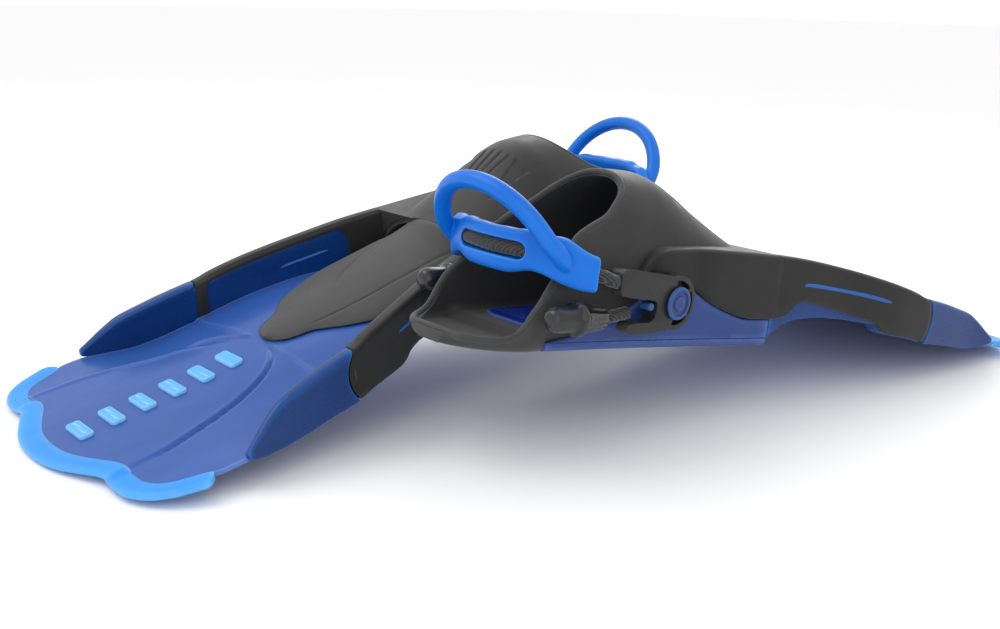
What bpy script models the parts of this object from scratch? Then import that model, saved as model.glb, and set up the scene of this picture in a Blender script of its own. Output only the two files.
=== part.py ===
"""A pair of open-heel swim fins with bungee heel straps, lying crossed: each fin
rests on its blade tip with its heel beside the other fin's inner rail.

One fin is modelled in its own frame: origin under the back of the heel, +X from
heel to blade tip, +Y to the wearer's left, +Z up, sole flat at Z = 0.  Fin B
stands nose down with its blade towards world +X, and fin A is the same fin turned
half a turn about the world Z axis.  Units are metres.
"""
import math

import bpy
import bmesh
from mathutils import Matrix, Vector

# ---------------------------------------------------------------- dimensions
MM = 0.001
GAP = 0.3 * MM                      # air left between touching pieces
NOSE_DOWN = math.radians(7.95)      # tilt of each fin, tip on the ground
FIN_BACK = -187.6 * MM              # heel origin of fin B along world X
FIN_SIDE = -76.0 * MM               # centre line of fin B along world Y

SOLE_START, SOLE_END = 58.0, 240.0  # outsole, along the fin (mm)
POCKET_START, POCKET_END = 9.0, 240.0
TONGUE_TIP = 385.0
RAIL_END = 466.0                    # front end of the side rails
COVER_START, COVER_END = 126.0, 388.0
SOLE_T, FLOOR_T, BED_T = 4.0, 2.5, 2.4
WALL = 4.0                          # rubber wall of the foot pocket
SKIN = 2.8                          # outsole flank and rail cover thickness
BLADE_T = 3.4
TRIM_W, TRIM_T = 11.5, 6.0          # rounded tip trim
TRIM_DROP = 0.4                     # trim centre below the blade's middle

STUD = (142.5, 31.6)                # strap pivot, X and Z
STUD_R = 8.6
BUCKLE_IN, BUCKLE_OUT = 57.2, 66.0  # buckle plate, across the fin
RING_R = 16.5
CORD_R = 4.0
CORD_Y = 61.6
TOGGLE = (57.0, 22.5)               # toggle centre line, Y and Z
PAD_T = 11.0
LOOP_R = 5.4

# ---------------------------------------------------------------- clean scene
for old in list(bpy.data.objects):
    bpy.data.objects.remove(old, do_unlink=True)


def collection(name):
    made = bpy.data.collections.new(name)
    bpy.context.scene.collection.children.link(made)
    return made


PARTS = collection("swim_fins")
CUTTERS = collection("cutters")


# ---------------------------------------------------------------- materials
def material(name, colour, roughness, metallic=0.0):
    mat = bpy.data.materials.new(name)
    mat.use_nodes = True
    shader = mat.node_tree.nodes["Principled BSDF"]
    shader.inputs["Base Color"].default_value = (*colour, 1)
    shader.inputs["Roughness"].default_value = roughness
    shader.inputs["Metallic"].default_value = metallic
    mat.diffuse_color = (*colour, 1)
    return mat


COLOURS = {
    "blade": material("blade_blue", (0.05, 0.09, 0.42), 0.32),
    "rail": material("rail_blue", (0.01, 0.05, 0.30), 0.28),
    "sole": material("outsole_blue", (0.04, 0.08, 0.38), 0.35),
    "rubber": material("black_rubber", (0.022, 0.022, 0.024), 0.55),
    "cover": material("black_overmould", (0.026, 0.026, 0.028), 0.5),
    "trim": material("sky_blue_trim", (0.10, 0.42, 0.90), 0.35),
    "bright": material("azure_pad", (0.0, 0.22, 0.95), 0.35),
    "bed": material("footbed_blue", (0.01, 0.03, 0.40), 0.45),
    "buckle": material("buckle_black", (0.02, 0.02, 0.022), 0.4),
    "cord": material("bungee_black", (0.015, 0.015, 0.016), 0.8),
    "toggle": material("toggle_black", (0.02, 0.02, 0.022), 0.3),
    "stud": material("stud_blue", (0.02, 0.10, 0.55), 0.35),
}


# ---------------------------------------------------------------- helpers
def smooth(*knots):
    """A smooth curve through (x, value) knots, flat beyond its ends."""
    xs = [k[0] for k in knots]
    ys = [k[1] for k in knots]
    n = len(xs)
    slope = [(ys[i + 1] - ys[i]) / (xs[i + 1] - xs[i]) for i in range(n - 1)]
    tang = [slope[0]] + [0.0] * (n - 2) + [slope[-1]]
    for i in range(1, n - 1):
        if slope[i - 1] * slope[i] > 0:
            tang[i] = 2 * slope[i - 1] * slope[i] / (slope[i - 1] + slope[i])

    def at(x):
        if x <= xs[0]:
            return ys[0]
        if x >= xs[-1]:
            return ys[-1]
        i = max(j for j in range(n - 1) if xs[j] <= x)
        h = xs[i + 1] - xs[i]
        t = (x - xs[i]) / h
        return (
            (2 * t**3 - 3 * t**2 + 1) * ys[i]
            + (t**3 - 2 * t**2 + t) * h * tang[i]
            + (-2 * t**3 + 3 * t**2) * ys[i + 1]
            + (t**3 - t**2) * h * tang[i + 1]
        )

    return at


def between(stations, curve, x):
    """The value of a curve on the straight run between two stations."""
    for a, b in zip(stations, stations[1:]):
        if x <= b:
            t = max((x - a) / (b - a), 0.0)
            return curve(a) + (curve(b) - curve(a)) * t
    return curve(stations[-1])


def step(a, b, x):
    t = min(max((x - a) / (b - a), 0.0), 1.0)
    return t * t * (3 - 2 * t)


def finish(mesh_or_bm, name, angle=40):
    """A mesh with its faces turned outwards and its round parts smooth."""
    bm = mesh_or_bm
    if bm.calc_volume(signed=True) < 0:
        bmesh.ops.reverse_faces(bm, faces=bm.faces)
    mesh = bpy.data.meshes.new(name)
    bm.to_mesh(mesh)
    bm.free()
    mesh.shade_smooth()
    mesh.set_sharp_from_angle(angle=math.radians(angle))
    return mesh


def loft(name, rings):
    """A closed skin through rings of equal count, capped at both ends (mm in)."""
    bm = bmesh.new()
    rows = [[bm.verts.new((p[0] * MM, p[1] * MM, p[2] * MM)) for p in ring] for ring in rings]
    n = len(rows[0])
    for a, b in zip(rows, rows[1:]):
        for i in range(n):
            bm.faces.new((a[i], a[(i + 1) % n], b[(i + 1) % n], b[i]))
    bm.faces.new(rows[0][::-1])
    bm.faces.new(rows[-1])
    return finish(bm, name)


def shell(name, top, low):
    """A closed plate between two grids of points with the same rows (mm in)."""
    bm = bmesh.new()
    grids = [[[bm.verts.new((x * MM, y * MM, z * MM)) for x, y, z in row] for row in grid] for grid in (top, low)]
    up, down = grids
    rows, cols = len(up), len(up[0])
    for r in range(rows - 1):
        for c in range(cols - 1):
            bm.faces.new((up[r][c], up[r + 1][c], up[r + 1][c + 1], up[r][c + 1]))
            bm.faces.new((down[r][c], down[r][c + 1], down[r + 1][c + 1], down[r + 1][c]))
        bm.faces.new((up[r][0], down[r][0], down[r + 1][0], up[r + 1][0]))
        bm.faces.new((up[r][-1], up[r + 1][-1], down[r + 1][-1], down[r][-1]))
    for c in range(cols - 1):
        bm.faces.new((up[0][c], up[0][c + 1], down[0][c + 1], down[0][c]))
        bm.faces.new((up[-1][c], down[-1][c], down[-1][c + 1], up[-1][c + 1]))
    return finish(bm, name)


def plate(name, outline, y0, y1):
    """An outline in X and Z, extruded from y0 to y1 (mm in)."""
    return loft(name, [[(x, y, z) for x, z in outline] for y in (y0, y1)])


def slab(name, outline, z0, z1):
    return loft(name, [[(x, y, z) for x, y in outline] for z in (z0, z1)])


def tube(name, points, radius, sides=10):
    """A round tube along points, its rings square to the path (mm in)."""
    pts = [Vector(p) for p in points]
    rings = []
    up = None
    for i, p in enumerate(pts):
        t = (pts[min(i + 1, len(pts) - 1)] - pts[max(i - 1, 0)]).normalized()
        if up is None:
            up = t.orthogonal().normalized()
        up = (up - t * up.dot(t)).normalized()
        side = t.cross(up)
        r = radius(i / (len(pts) - 1)) if callable(radius) else radius
        rings.append(
            [
                tuple(p + (up * math.cos(a) + side * math.sin(a)) * r)
                for a in (2 * math.pi * k / sides for k in range(sides))
            ]
        )
    return loft(name, rings)


def turned(name, profile, sides=20):
    """A turned solid about the X axis, from (x, radius) stations (mm in)."""
    rings = [
        [
            (x, r * math.cos(2 * math.pi * k / sides), r * math.sin(2 * math.pi * k / sides))
            for k in range(sides)
        ]
        for x, r in profile
    ]
    return loft(name, rings)


def mirrored(mesh, name):
    """The same shape on the other side of the fin's centre plane."""
    bm = bmesh.new()
    bm.from_mesh(mesh)
    for v in bm.verts:
        v.co.y = -v.co.y
    bmesh.ops.reverse_faces(bm, faces=bm.faces)
    return finish(bm, name)


def worked(name, base, steps):
    """The mesh that is left after Boolean steps on a base mesh.

    steps: (operation, cutter mesh) pairs, in order.
    """
    body = bpy.data.objects.new(name + "_work", base)
    CUTTERS.objects.link(body)
    tools = []
    for i, (operation, cutter) in enumerate(steps):
        tool = bpy.data.objects.new(f"{name}_cut_{i}", cutter)
        CUTTERS.objects.link(tool)
        tool.hide_render = True
        tool.display_type = "WIRE"
        tools.append(tool)
        mod = body.modifiers.new(f"cut_{i}", "BOOLEAN")
        mod.operation = operation
        mod.solver = "EXACT"
        mod.object = tool
    bpy.context.view_layer.update()
    graph = bpy.context.evaluated_depsgraph_get()
    made = bpy.data.meshes.new_from_object(body.evaluated_get(graph))
    for obj in [body, *tools]:
        bpy.data.objects.remove(obj, do_unlink=True)
    bm = bmesh.new()
    bm.from_mesh(made)
    bmesh.ops.remove_doubles(bm, verts=bm.verts, dist=0.00001)
    bmesh.ops.dissolve_degenerate(bm, edges=bm.edges, dist=0.00002)
    return finish(bm, name)


# ---------------------------------------------------------------- fin profiles (mm)
# Half width of the pocket and outsole, seen from above.
half_width = smooth(
    (9, 10), (12, 19), (17, 27), (24, 34), (34, 40), (46, 43.5), (66, 45.5), (85, 46.8),
    (104, 48.5), (127, 51.2), (142, 53), (165, 56), (180, 58), (200, 61), (220, 64), (240, 67),
)
# Height of the instep line, with the arch carried on to the heel behind the rim.
instep = smooth(
    (9, 34), (34, 48), (53, 60), (78, 78), (104, 94), (127, 102), (140, 103), (152, 103),
    (162, 101), (178, 94), (196, 84), (215, 74), (238, 63), (257, 54), (300, 41.5),
    (340, 31), (372, 24), (385, 20.5),
)
# Height of the pocket rim along the fin.
RIM = (
    (-20, 7), (9, 6.5), (18, 6), (30, 6.5), (38, 9), (43, 14), (48, 22), (55, 31), (65, 41),
    (75, 53), (85, 64.5), (96, 71), (108, 77), (118, 85), (127, 92.5), (133, 99), (137, 106),
)
flank_top = smooth(
    (58, 5), (80, 9), (100, 15), (120, 25), (140, 36), (158, 39.5), (170, 36), (182, 30),
    (200, 23), (222, 18), (240, 18),
)
# Outer face of the rails and their shoulders, their top and their lower edge.
rail_out = smooth(
    (126, 54.4), (142, 56), (165, 58), (180, 61), (200, 64), (220, 66.8), (240, 70), (268, 76),
    (302, 84), (335, 93.5), (358, 99.5), (382, 104), (410, 108), (440, 112), (466, 118),
)
rail_top = smooth(
    (126, 50), (131, 56), (138, 60.5), (150, 62.6), (180, 63.2), (220, 62), (260, 59.8),
    (300, 54.8), (340, 47.8), (382, 38), (420, 29.8), (438, 25.4), (448, 20), (458, 13),
    (466, 7.5),
)
rail_foot = smooth(
    (240, 6), (250, 13), (262, 18), (285, 20), (318, 18), (334, 16), (340, 10.5), (360, 7.8),
    (400, 2.6), (440, -1.2), (455, 0), (466, 3),
)
rail_width = smooth((126, 10), (240, 12), (388, 11), (430, 9), (466, 5))
# Blade web under the centre line and beside the rails (top faces).
web_mid = smooth(
    (240, 8.8), (252, 15), (262, 21.5), (280, 26.5), (300, 28), (340, 24.5), (384, 17.3),
    (420, 10.2), (466, 5), (500, 2.2), (534, -0.4),
)
web_side = smooth(
    (240, 8.8), (252, 15), (262, 21.5), (300, 25), (340, 20.5), (357, 17), (391, 9.5),
    (436, 3), (466, 3.4), (500, 1.2), (534, -1),
)
panel_half = smooth(
    (386, 0), (389, 14), (394, 24), (405, 37), (420, 46), (445, 55), (470, 61), (534, 72),
)
RAIL_X = [240.4, 252, 264, 285, 318, 340, 360, 388.2, 389.4, 412, 438, 450, RAIL_END]
tongue_half = smooth(
    (240, 55), (255, 58), (270, 60), (296, 58), (322, 52), (344, 41.5), (355, 31.5), (362, 24),
    (372, 20), (379, 15.5), (383, 9.5), (385, 5),
)
# Trailing edge of the blade proper (inside the trim): X over the distance from
# the centre line, with the two-lobed notch of the outline.
tail_edge = smooth(
    (0, 533.4), (10, 533), (22, 531), (34, 527), (46, 521.6), (56, 517.4), (64, 515.8),
    (74, 516.4), (84, 516.2), (92, 513.6), (98, 509.5), (103, 503),
)


def blade_top(x, y):
    """Height of the blade's top face: a raised centre panel between channels."""
    side, mid = web_side(x), web_mid(x)
    reach = rail_in(min(x, RAIL_END)) if x < RAIL_END else 112.0
    edge = panel_half(x)
    if x < 386:
        t = step(0.35, 0.95, abs(y) / reach)
        return mid + (side - mid) * t
    t = step(edge - 4, edge + 3, abs(y))
    broad = step(0.15, 0.95, abs(y) / reach)
    return (mid + 0.6) + (side - mid) * broad - 1.5 * t


def rail_in(x):
    return rail_out(x) - rail_width(x)


# ---------------------------------------------------------------- foot pocket
def arch_ring(x, inset, floor, n=8, power=2.3):
    """A rounded floor corner, upright sides and an arched top at station x."""
    w = half_width(x) - SKIN * step(50, 66, x) - inset
    h = instep(x) - inset
    base = min(25.0, floor + (h - floor) * 0.45)
    corner = 5.0 if w > 12 else 1.5
    half = [(w - corner, floor), (w - corner * 0.3, floor + corner * 0.3), (w, floor + corner)]
    for k in range(n):
        a = (math.pi / 2) * k / (n - 1)
        y = w * math.cos(a) ** (2 / power)
        z = base + (h - base) * math.sin(a) ** (2 / power)
        half.append((max(y, 0.0), z))
    half[-1] = (0.0, h)
    ring = [(x, y, z) for y, z in half] + [(x, -y, z) for y, z in half[:-1][::-1]]
    return ring


STATIONS = [9, 12, 18, 27, 40, 56, 58.4, 78, 104, 127, 140, 154, 174, 200, 240]


def pocket_floor(x):
    return 0.0 if x <= 56.5 else SOLE_T + GAP / MM


def pocket_skin(grow=0.0):
    rings = [arch_ring(x, -grow, pocket_floor(x) - grow) for x in STATIONS]
    if grow:
        first = [(x - 1.0, y, z) for x, y, z in rings[0]]
        last = [(x + 2.0, y, z) for x, y, z in rings[-1]]
        rings = [first, *rings, last]
    return rings


def pocket():
    inner = []
    for x in [14.5, 18, 24, 34, 46, 58, 78, 104, 127, 140, 154, 174, 200, 246]:
        near = max(half_width(x - 3.2) - WALL, 5.0)
        inset = half_width(x) - near
        inner.append(arch_ring(min(x, 400), inset if x < 60 else WALL, 3.4 if x < 58 else SOLE_T + FLOOR_T + 0.3))
    cutter = loft("pocket_hollow", inner)
    above = [*RIM, (137.5, 150), (-20, 150)]
    rim = plate("pocket_rim", above, -90, 90)
    return worked("foot_pocket", loft("pocket_skin", pocket_skin()), [("DIFFERENCE", cutter), ("DIFFERENCE", rim)])


def chassis():
    """Outsole with the flanks that hold the rubber pocket."""
    rings = []
    for x in [58.4, 78, 104, 120, 140, 158, 170, 184, 200, 220, 240]:
        w, top = half_width(x), flank_top(x)
        half = [(w - 6, 0.0), (w - 1.8, 1.0), (w, 3.2), (w, top), (w - 1.0, top + 0.4), (w - 9, top + 0.4)]
        rings.append([(x, y, z) for y, z in half] + [(x, -y, z) for y, z in half[::-1]])
    return worked(
        "outsole", loft("outsole_block", rings), [("DIFFERENCE", loft("pocket_room", pocket_skin(0.35)))]
    )


def footbed():
    """Ribbed insole that lies on the pocket floor."""
    z0 = SOLE_T + 0.3 + FLOOR_T + 0.3
    side = lambda x: half_width(x) - SKIN - WALL - 5.6
    xs = [72, 76, 84, 100, 120, 140, 160, 180, 200, 220, 234]
    taper = {72: 0.55, 76: 0.85}
    edge = [(x, side(x) * taper.get(x, 1.0)) for x in xs]
    outline = edge + [(x, -y) for x, y in edge[::-1]]
    return slab("footbed", outline, z0, z0 + BED_T)


# ---------------------------------------------------------------- blade and tongue
def blade():
    rows = []
    cols = [0.0, 0.25, 0.46, 0.6, 0.72, 0.86, 1.0]
    vs = [-c for c in cols[:0:-1]] + cols
    stations = sorted([240.3, 252, 264, 285, 318, 340, 360, 387, 394, 412, 438, 450, RAIL_END - 0.3])
    for x in stations:
        y1 = between(RAIL_X, rail_in, x) - GAP / MM
        rows.append([(x, v * y1) for v in vs])
    # Ahead of the rails the blade widens to the trim and ends on its lobed edge.
    start = RAIL_END + 0.4
    for u in (0.0, 0.35, 0.7, 1.0):
        row = []
        for v in vs:
            wide = 112.6 - 9.8 * step(0.3, 1.0, u) * abs(v) ** 2
            y = v * wide
            end = tail_edge(abs(y) * 103 / 102.8) - 0.7
            row.append((start + (end - start) * u, y))
        rows.append(row)
    top = [[(x, y, blade_top(x, y)) for x, y in row] for row in rows]
    thick = [BLADE_T - 1.2 * step(300, 530, row[len(row) // 2][0]) for row in rows]
    low = [[(x, y, z - t) for x, y, z in row] for row, t in zip(top, thick)]
    return shell("blade", top, low)


def inlay():
    """Six raised bars on one thin base strip along the panel."""
    x0, x1, half = 402.0, 524.0, 12.5
    pitch = (x1 - x0) / 6

    def lift(x):
        """Bar height over the strip: one rounded bar in each pitch."""
        u = ((x - x0) % pitch) / pitch
        return 1.6 if 0.16 < u < 0.84 else 0.0

    xs = []
    for i in range(6):
        for u in (0.0, 0.159, 0.161, 0.839, 0.841):
            xs.append(x0 + (i + u) * pitch)
    xs.append(x1 - 0.01)
    rings = []
    for x in xs:
        w = half
        base = [blade_top(x, y) + 0.3 for y in (-w, w)]
        top = max(base) + 0.5 + lift(x)
        w_top = w - 1.5 if lift(x) else w
        rings.append([(x, -w, base[0]), (x, w, base[1]), (x, w_top, top), (x, -w_top, top)])
    return loft("inlay", rings)


def trim_path():
    """Middle line of the trim on the left half, from the centre to the side."""
    pts = []
    ys = [0, 14, 28, 40, 50, 57, 64, 72, 82, 90]
    for y in ys:
        pts.append((tail_edge(y), y))
    for y in (96, 100.5, 103):
        pts.append((tail_edge(y), y))
    pts += [(499.5, 104.4), (492, 107.6), (484.5, 111)]
    out = []
    for i, (x, y) in enumerate(pts):
        ax, ay = pts[max(i - 1, 0)]
        bx, by = pts[min(i + 1, len(pts) - 1)]
        tx, ty = bx - ax, by - ay
        if i == 0:
            tx, ty = 0.0, 1.0
        n = math.hypot(tx, ty)
        out.append((x, y, ty / n, -tx / n))
    return out


def trim_rings():
    half = trim_path()
    full = [(x, -y, nx, -ny) for x, y, nx, ny in half[:0:-1]] + half
    rings = []
    last = len(full) - 1
    for i, (x, y, nx, ny) in enumerate(full):
        end = min(i, last - i)
        width = TRIM_W * (1.0 if end > 1 else (0.72, 0.93)[end])
        z = blade_top(x, y) - 1.1 - TRIM_DROP
        ring = []
        for off, dz in ((0.0, -2.4), (0.0, 2.4), (0.35, 3.0), (0.85, 2.2), (1.0, 0), (0.85, -2.2), (0.35, -3.0)):
            o = GAP / MM + off * width
            ring.append((x + nx * o, y + ny * o, z + dz * TRIM_T / 6.0))
        rings.append(ring)
    return rings


def tongue():
    """Domed rubber cover over the toes, sitting on the blade."""
    xs = [240.3, 252, 264, 285, 318, 340, 356, 363, 376, 385]
    outer, inner = [], []
    for x in xs:
        outer.append(dome(x, 0.0))
    for x in [230, 240.3, 252, 264, 285, 324]:
        inner.append(dome(x, 3.4))
    return worked("tongue", loft("tongue_skin", outer), [("DIFFERENCE", loft("tongue_hollow", inner))])


def dome(x, inset, n=8):
    w = min(tongue_half(x), rail_in(x) - 1.0 if x < 300 else 999) - inset * 1.2
    foot = 0.6 if not inset else -12.0
    h = instep(x) - inset
    half = []
    for k in range(n):
        a = (math.pi / 2) * k / (n - 1)
        y = w * math.cos(a)
        z0 = blade_top(max(x, 240.3), w) + (0.9 if not inset else -0.8)
        power = 1.0 + 0.35 * step(300, 385, x)
        z = z0 + foot * 0 + (h - z0) * math.sin(a) ** power
        z = max(z, blade_top(max(x, 240.3), y) + 1.4) if not inset else z
        half.append((y, z))
    half[-1] = (0.0, max(h, web_mid(x) + 1.8) if not inset else h)
    low = 0.9 if not inset else -20.0
    ring = [(x, y, z) for y, z in half] + [(x, -y, z) for y, z in half[:-1][::-1]]
    # Underside follows the blade.
    for k in range(1, 6):
        y = -w + 2 * w * k / 6
        ring.append((x, y, blade_top(max(x, 240.3), y) + low))
    return ring


# ---------------------------------------------------------------- rails
def block_ring(x, y0, y1, z0, z1, r=2.5):
    """A rounded-top upright section."""
    r = min(r, (y1 - y0) * 0.4, (z1 - z0) * 0.4)
    q = r * 0.3
    return [
        (x, y0 + q, z0), (x, y1 - q, z0), (x, y1, z0 + r), (x, y1, z1 - r),
        (x, y1 - r, z1), (x, y0 + r, z1), (x, y0, z1 - r), (x, y0, z0 + r),
    ]


def rail_rings(grow=0.0):
    rings = []
    for x in RAIL_X:
        covered = x < 388.5
        out = rail_out(x) - (SKIN if covered else 0.0)
        top = rail_top(x) - (SKIN if covered else 0.0)
        rings.append(block_ring(x, rail_in(x) - grow, out + grow, rail_foot(x) - grow, top + grow))
    if grow:
        rings.insert(0, [(x - 1.2, y, z) for x, y, z in rings[0]])
    return rings


def cover():
    """Rubber overmould: a shoulder beside the pocket, then a cap over the rail."""
    lower = smooth(
        (126, 44), (140, 41.2), (160, 41.0), (172, 37), (184, 30), (200, 24), (222, 19),
        (240, 19), (250, 21), (258, 28), (266, 31.5), (280, 29), (300, 25), (326, 19.5),
        (334, 17), (341, 11.4), (360, 8.6), (388, 4.8),
    )
    rings = []
    for x in [126, 131, 140, 160, 180, 200, 222, 240, 252, 266, 285, 305, 328, 341, 360, COVER_END]:
        rings.append(block_ring(x, rail_in(x) + 0.3, rail_out(x), lower(x), rail_top(x)))
    window = [(262, 41.5), (266, 44.2), (330, 37.4), (344, 34.0), (343, 32.0), (328, 34.4), (266, 41.0)]
    return worked(
        "rail_cover",
        loft("cover_block", rings),
        [
            ("DIFFERENCE", loft("cover_pocket_room", pocket_skin(0.35))),
            ("DIFFERENCE", loft("cover_rail_room", rail_rings(0.35))),
            ("DIFFERENCE", plate("cover_window", window, 60, 130)),
            ("DIFFERENCE", sole_room()),
        ],
    )


def sole_room():
    """Room for the outsole flanks, so the shoulder stops just above them."""
    rings = []
    for x in [120, 140, 158, 170, 184, 200, 220, 240.2]:
        w, top = half_width(x) + 0.35, flank_top(x) + 0.8
        rings.append([(x, -w, -5), (x, w, -5), (x, w, top), (x, -w, top)])
    return loft("cover_sole_room", rings)


# ---------------------------------------------------------------- strap, buckles
def circle(cx, cz, r, n, a0=0.0, a1=2 * math.pi, closed=True):
    m = n if closed else n - 1
    return [(cx + r * math.cos(a0 + (a1 - a0) * k / m), cz + r * math.sin(a0 + (a1 - a0) * k / m)) for k in range(n)]


def buckle():
    """C-shaped side release buckle: ring round the stud and two arms to the rear."""
    sx, sz = STUD
    ring = circle(sx, sz, RING_R, 15, math.radians(105), math.radians(-110), closed=False)
    outline = ring + [(128, 14.6), (112, 13.6), (102, 14.6), (100.4, 17.4), (104, 20.2), (120, 20.4), (124.4, 24),
                      (124.4, 30.5), (121, 33.6), (108, 34.6), (92.5, 37), (91, 39), (90.6, 50.5), (92.2, 51.8), (112, 50.4), (130, 48.4)]
    body = plate("buckle_plate", outline, BUCKLE_IN, BUCKLE_OUT)
    eye = plate("buckle_eye", circle(sx, sz, STUD_R + 0.5, 16), 50, 80)
    bore = tube("buckle_bore", [(80, CORD_Y, 46.1), (116, CORD_Y, 40.0)], CORD_R + 0.35, 8)
    pocket_face = plate("buckle_recess", circle(sx, sz, 12.2, 6, math.radians(-62), math.radians(62), closed=False)
                        + circle(sx, sz, 10.4, 6, math.radians(62), math.radians(-62), closed=False), 64.2, 80)
    return worked("buckle", body, [("DIFFERENCE", eye), ("DIFFERENCE", bore), ("DIFFERENCE", pocket_face)])


def stud():
    sx, sz = STUD
    wall = half_width(sx + STUD_R) + 0.4
    profile = [(wall, STUD_R), (66.4, STUD_R), (66.8, 10.0), (68.6, 10.0)]
    mesh = turned("stud", profile, 14)
    mesh.transform(Matrix.Translation((sx * MM, 0, sz * MM)) @ Matrix.Rotation(math.radians(90), 4, "Z"))
    return mesh


def toggle():
    """Fluted cone, flange and rounded barrel on the end of the bungee."""
    sides = 12
    stations = [(45, 4), (48.5, 6.8), (62, 7.6), (65.2, 10.0), (67.8, 10.0), (69, 9.2), (87.7, 6.8)]
    rings = []
    for x, r in stations:
        ring = []
        for k in range(sides):
            deep = 0.55 if (x > 68 and k % 2) else 0.0
            a = 2 * math.pi * k / sides
            ring.append((x, TOGGLE[0] + (r - deep) * math.cos(a), TOGGLE[1] + (r - deep) * math.sin(a)))
        rings.append(ring)
    return loft("toggle", rings)


def tail_cord():
    return tube("tail_cord", [(88.1, TOGGLE[0], TOGGLE[1]), (91, TOGGLE[0], TOGGLE[1]), (97, 58.7, 24.0), (105, 60.6, 26.0)], 3.8, 8)


def cord_post():
    """Pin inside the buckle that the bungee turns round, in the lower arm."""
    mesh = turned("cord_post", [(57.6, 2.4), (65.6, 2.4)], 8)
    mesh.transform(Matrix.Translation((120.2 * MM, 0, 29.6 * MM)) @ Matrix.Rotation(math.radians(90), 4, "Z"))
    return mesh


def strap_line(t):
    """Middle line of the bungee round the heel at angle t from the back."""
    y = 61.6 * math.sin(t)
    x = 90.5 - 41.5 * math.cos(t)
    z = 54.5 + 1.0 * math.sin(2 * abs(t)) - 9.0 * math.sin(abs(t)) ** 4
    return Vector((x, y, z))


def strap_points(t0, n):
    return [strap_line(-t0 + 2 * t0 * k / (n - 1)) for k in range(n)]


def heel_cord():
    side = [(113.5, 40.4), (88.5, 44.7)]
    pts = [(x, -CORD_Y, z) for x, z in side]
    pts += [tuple(p) for p in strap_points(math.radians(80), 17)]
    pts += [(x, CORD_Y, z) for x, z in side[::-1]]
    return tube("heel_cord", pts, CORD_R, 8)


def pad_section(t):
    """Rounded section of the heel pad, square to the strap line."""
    p = strap_line(t)
    out = Vector((-math.cos(t) / 41.5, math.sin(t) / 61.6, 0)).normalized()
    s = abs(math.sin(t))
    low = 41.0 + 6.2 * step(0.25, 0.62, s) - 9.5 * step(0.74, 0.95, s)
    high = 68.0 - 3.0 * step(0.1, 0.5, s) + 1.5 * step(0.5, 0.7, s) - 9.0 * step(0.7, 0.98, s)
    t2 = (PAD_T - 1.2 * s) / 2
    mid, h = (low + high) / 2, (high - low) / 2
    ring = []
    for dy, dz in ((-1, -0.7), (-0.5, -1), (0.5, -1), (1, -0.7), (1, 0.7), (0.5, 1), (-0.5, 1), (-1, 0.7)):
        q = p + out * (t2 * dy)
        ring.append((q.x, q.y, mid + h * dz))
    return ring


def heel_pad():
    """Heel pad moulded in one piece with its pull loop."""
    t0 = math.radians(71)
    pad = loft("pad_body", [pad_section(-t0 + 2 * t0 * k / 14) for k in range(15)])
    loop_pts = []
    for k in range(17):
        a = math.radians(-96 + 192 * k / 16)
        c = math.cos(a)
        c = math.copysign(abs(c) ** 0.9, c)
        loop_pts.append((60.5 - 31.5 * c, 49.0 * math.sin(a), 45.5 + 45.5 * c))
    loop = tube("pull_loop", loop_pts, LOOP_R, 8)
    channel = tube("pad_channel", [(96, -CORD_Y, 43.4)] + [tuple(p) for p in strap_points(math.radians(80), 17)] + [(96, CORD_Y, 43.4)], CORD_R + 0.4, 8)
    back = []
    for y0, y1, side in ((-27.5, 27.5, 1),):
        n = 9
        top = [(y0 + (y1 - y0) * k / (n - 1)) for k in range(n)]
        back = [(y, 54.9 + 4.9) for y in top] + [(y, 54.9 - 4.9) for y in top[::-1]]
    slot = loft("pad_slot", [[(x, y, z) for y, z in back] for x in (30, 52)])
    return worked("heel_pad", pad, [("UNION", loop), ("DIFFERENCE", channel), ("DIFFERENCE", slot)])


# ---------------------------------------------------------------- assembly
SHAPES = {}
SHAPES["foot_pocket"] = (pocket(), "rubber", "fin")
SHAPES["outsole"] = (chassis(), "sole", "fin")
SHAPES["footbed"] = (footbed(), "bed", "fin")
SHAPES["tongue"] = (tongue(), "rubber", "fin")
SHAPES["blade"] = (blade(), "blade", "fin")
SHAPES["blade_bars"] = (inlay(), "trim", "fin")
SHAPES["tip_trim"] = (loft("tip_trim", trim_rings()), "trim", "fin")
SHAPES["heel_cord"] = (heel_cord(), "cord", "strap")
SHAPES["heel_pad"] = (heel_pad(), "bright", "strap")
for base, mesh, colour, body in (
    ("rail", loft("rail", rail_rings()), "rail", "fin"),
    ("rail_cover", cover(), "cover", "fin"),
    ("stud", stud(), "stud", "fin"),
    ("buckle", buckle(), "buckle", "buckles"),
    ("cord_post", cord_post(), "stud", "buckles"),
    ("tail_cord", tail_cord(), "cord", "tails"),
    ("toggle", toggle(), "toggle", "tails"),
):
    SHAPES[base + "_left"] = (mesh, colour, body)
    SHAPES[base + "_right"] = (mirrored(mesh, base + "_right"), colour, body)

# Height of the heel origin that puts the trim's lowest point on the ground.
FIN_UP = -min(
    -math.sin(NOSE_DOWN) * x + math.cos(NOSE_DOWN) * z for ring in trim_rings() for x, y, z in ring
) * MM

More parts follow.
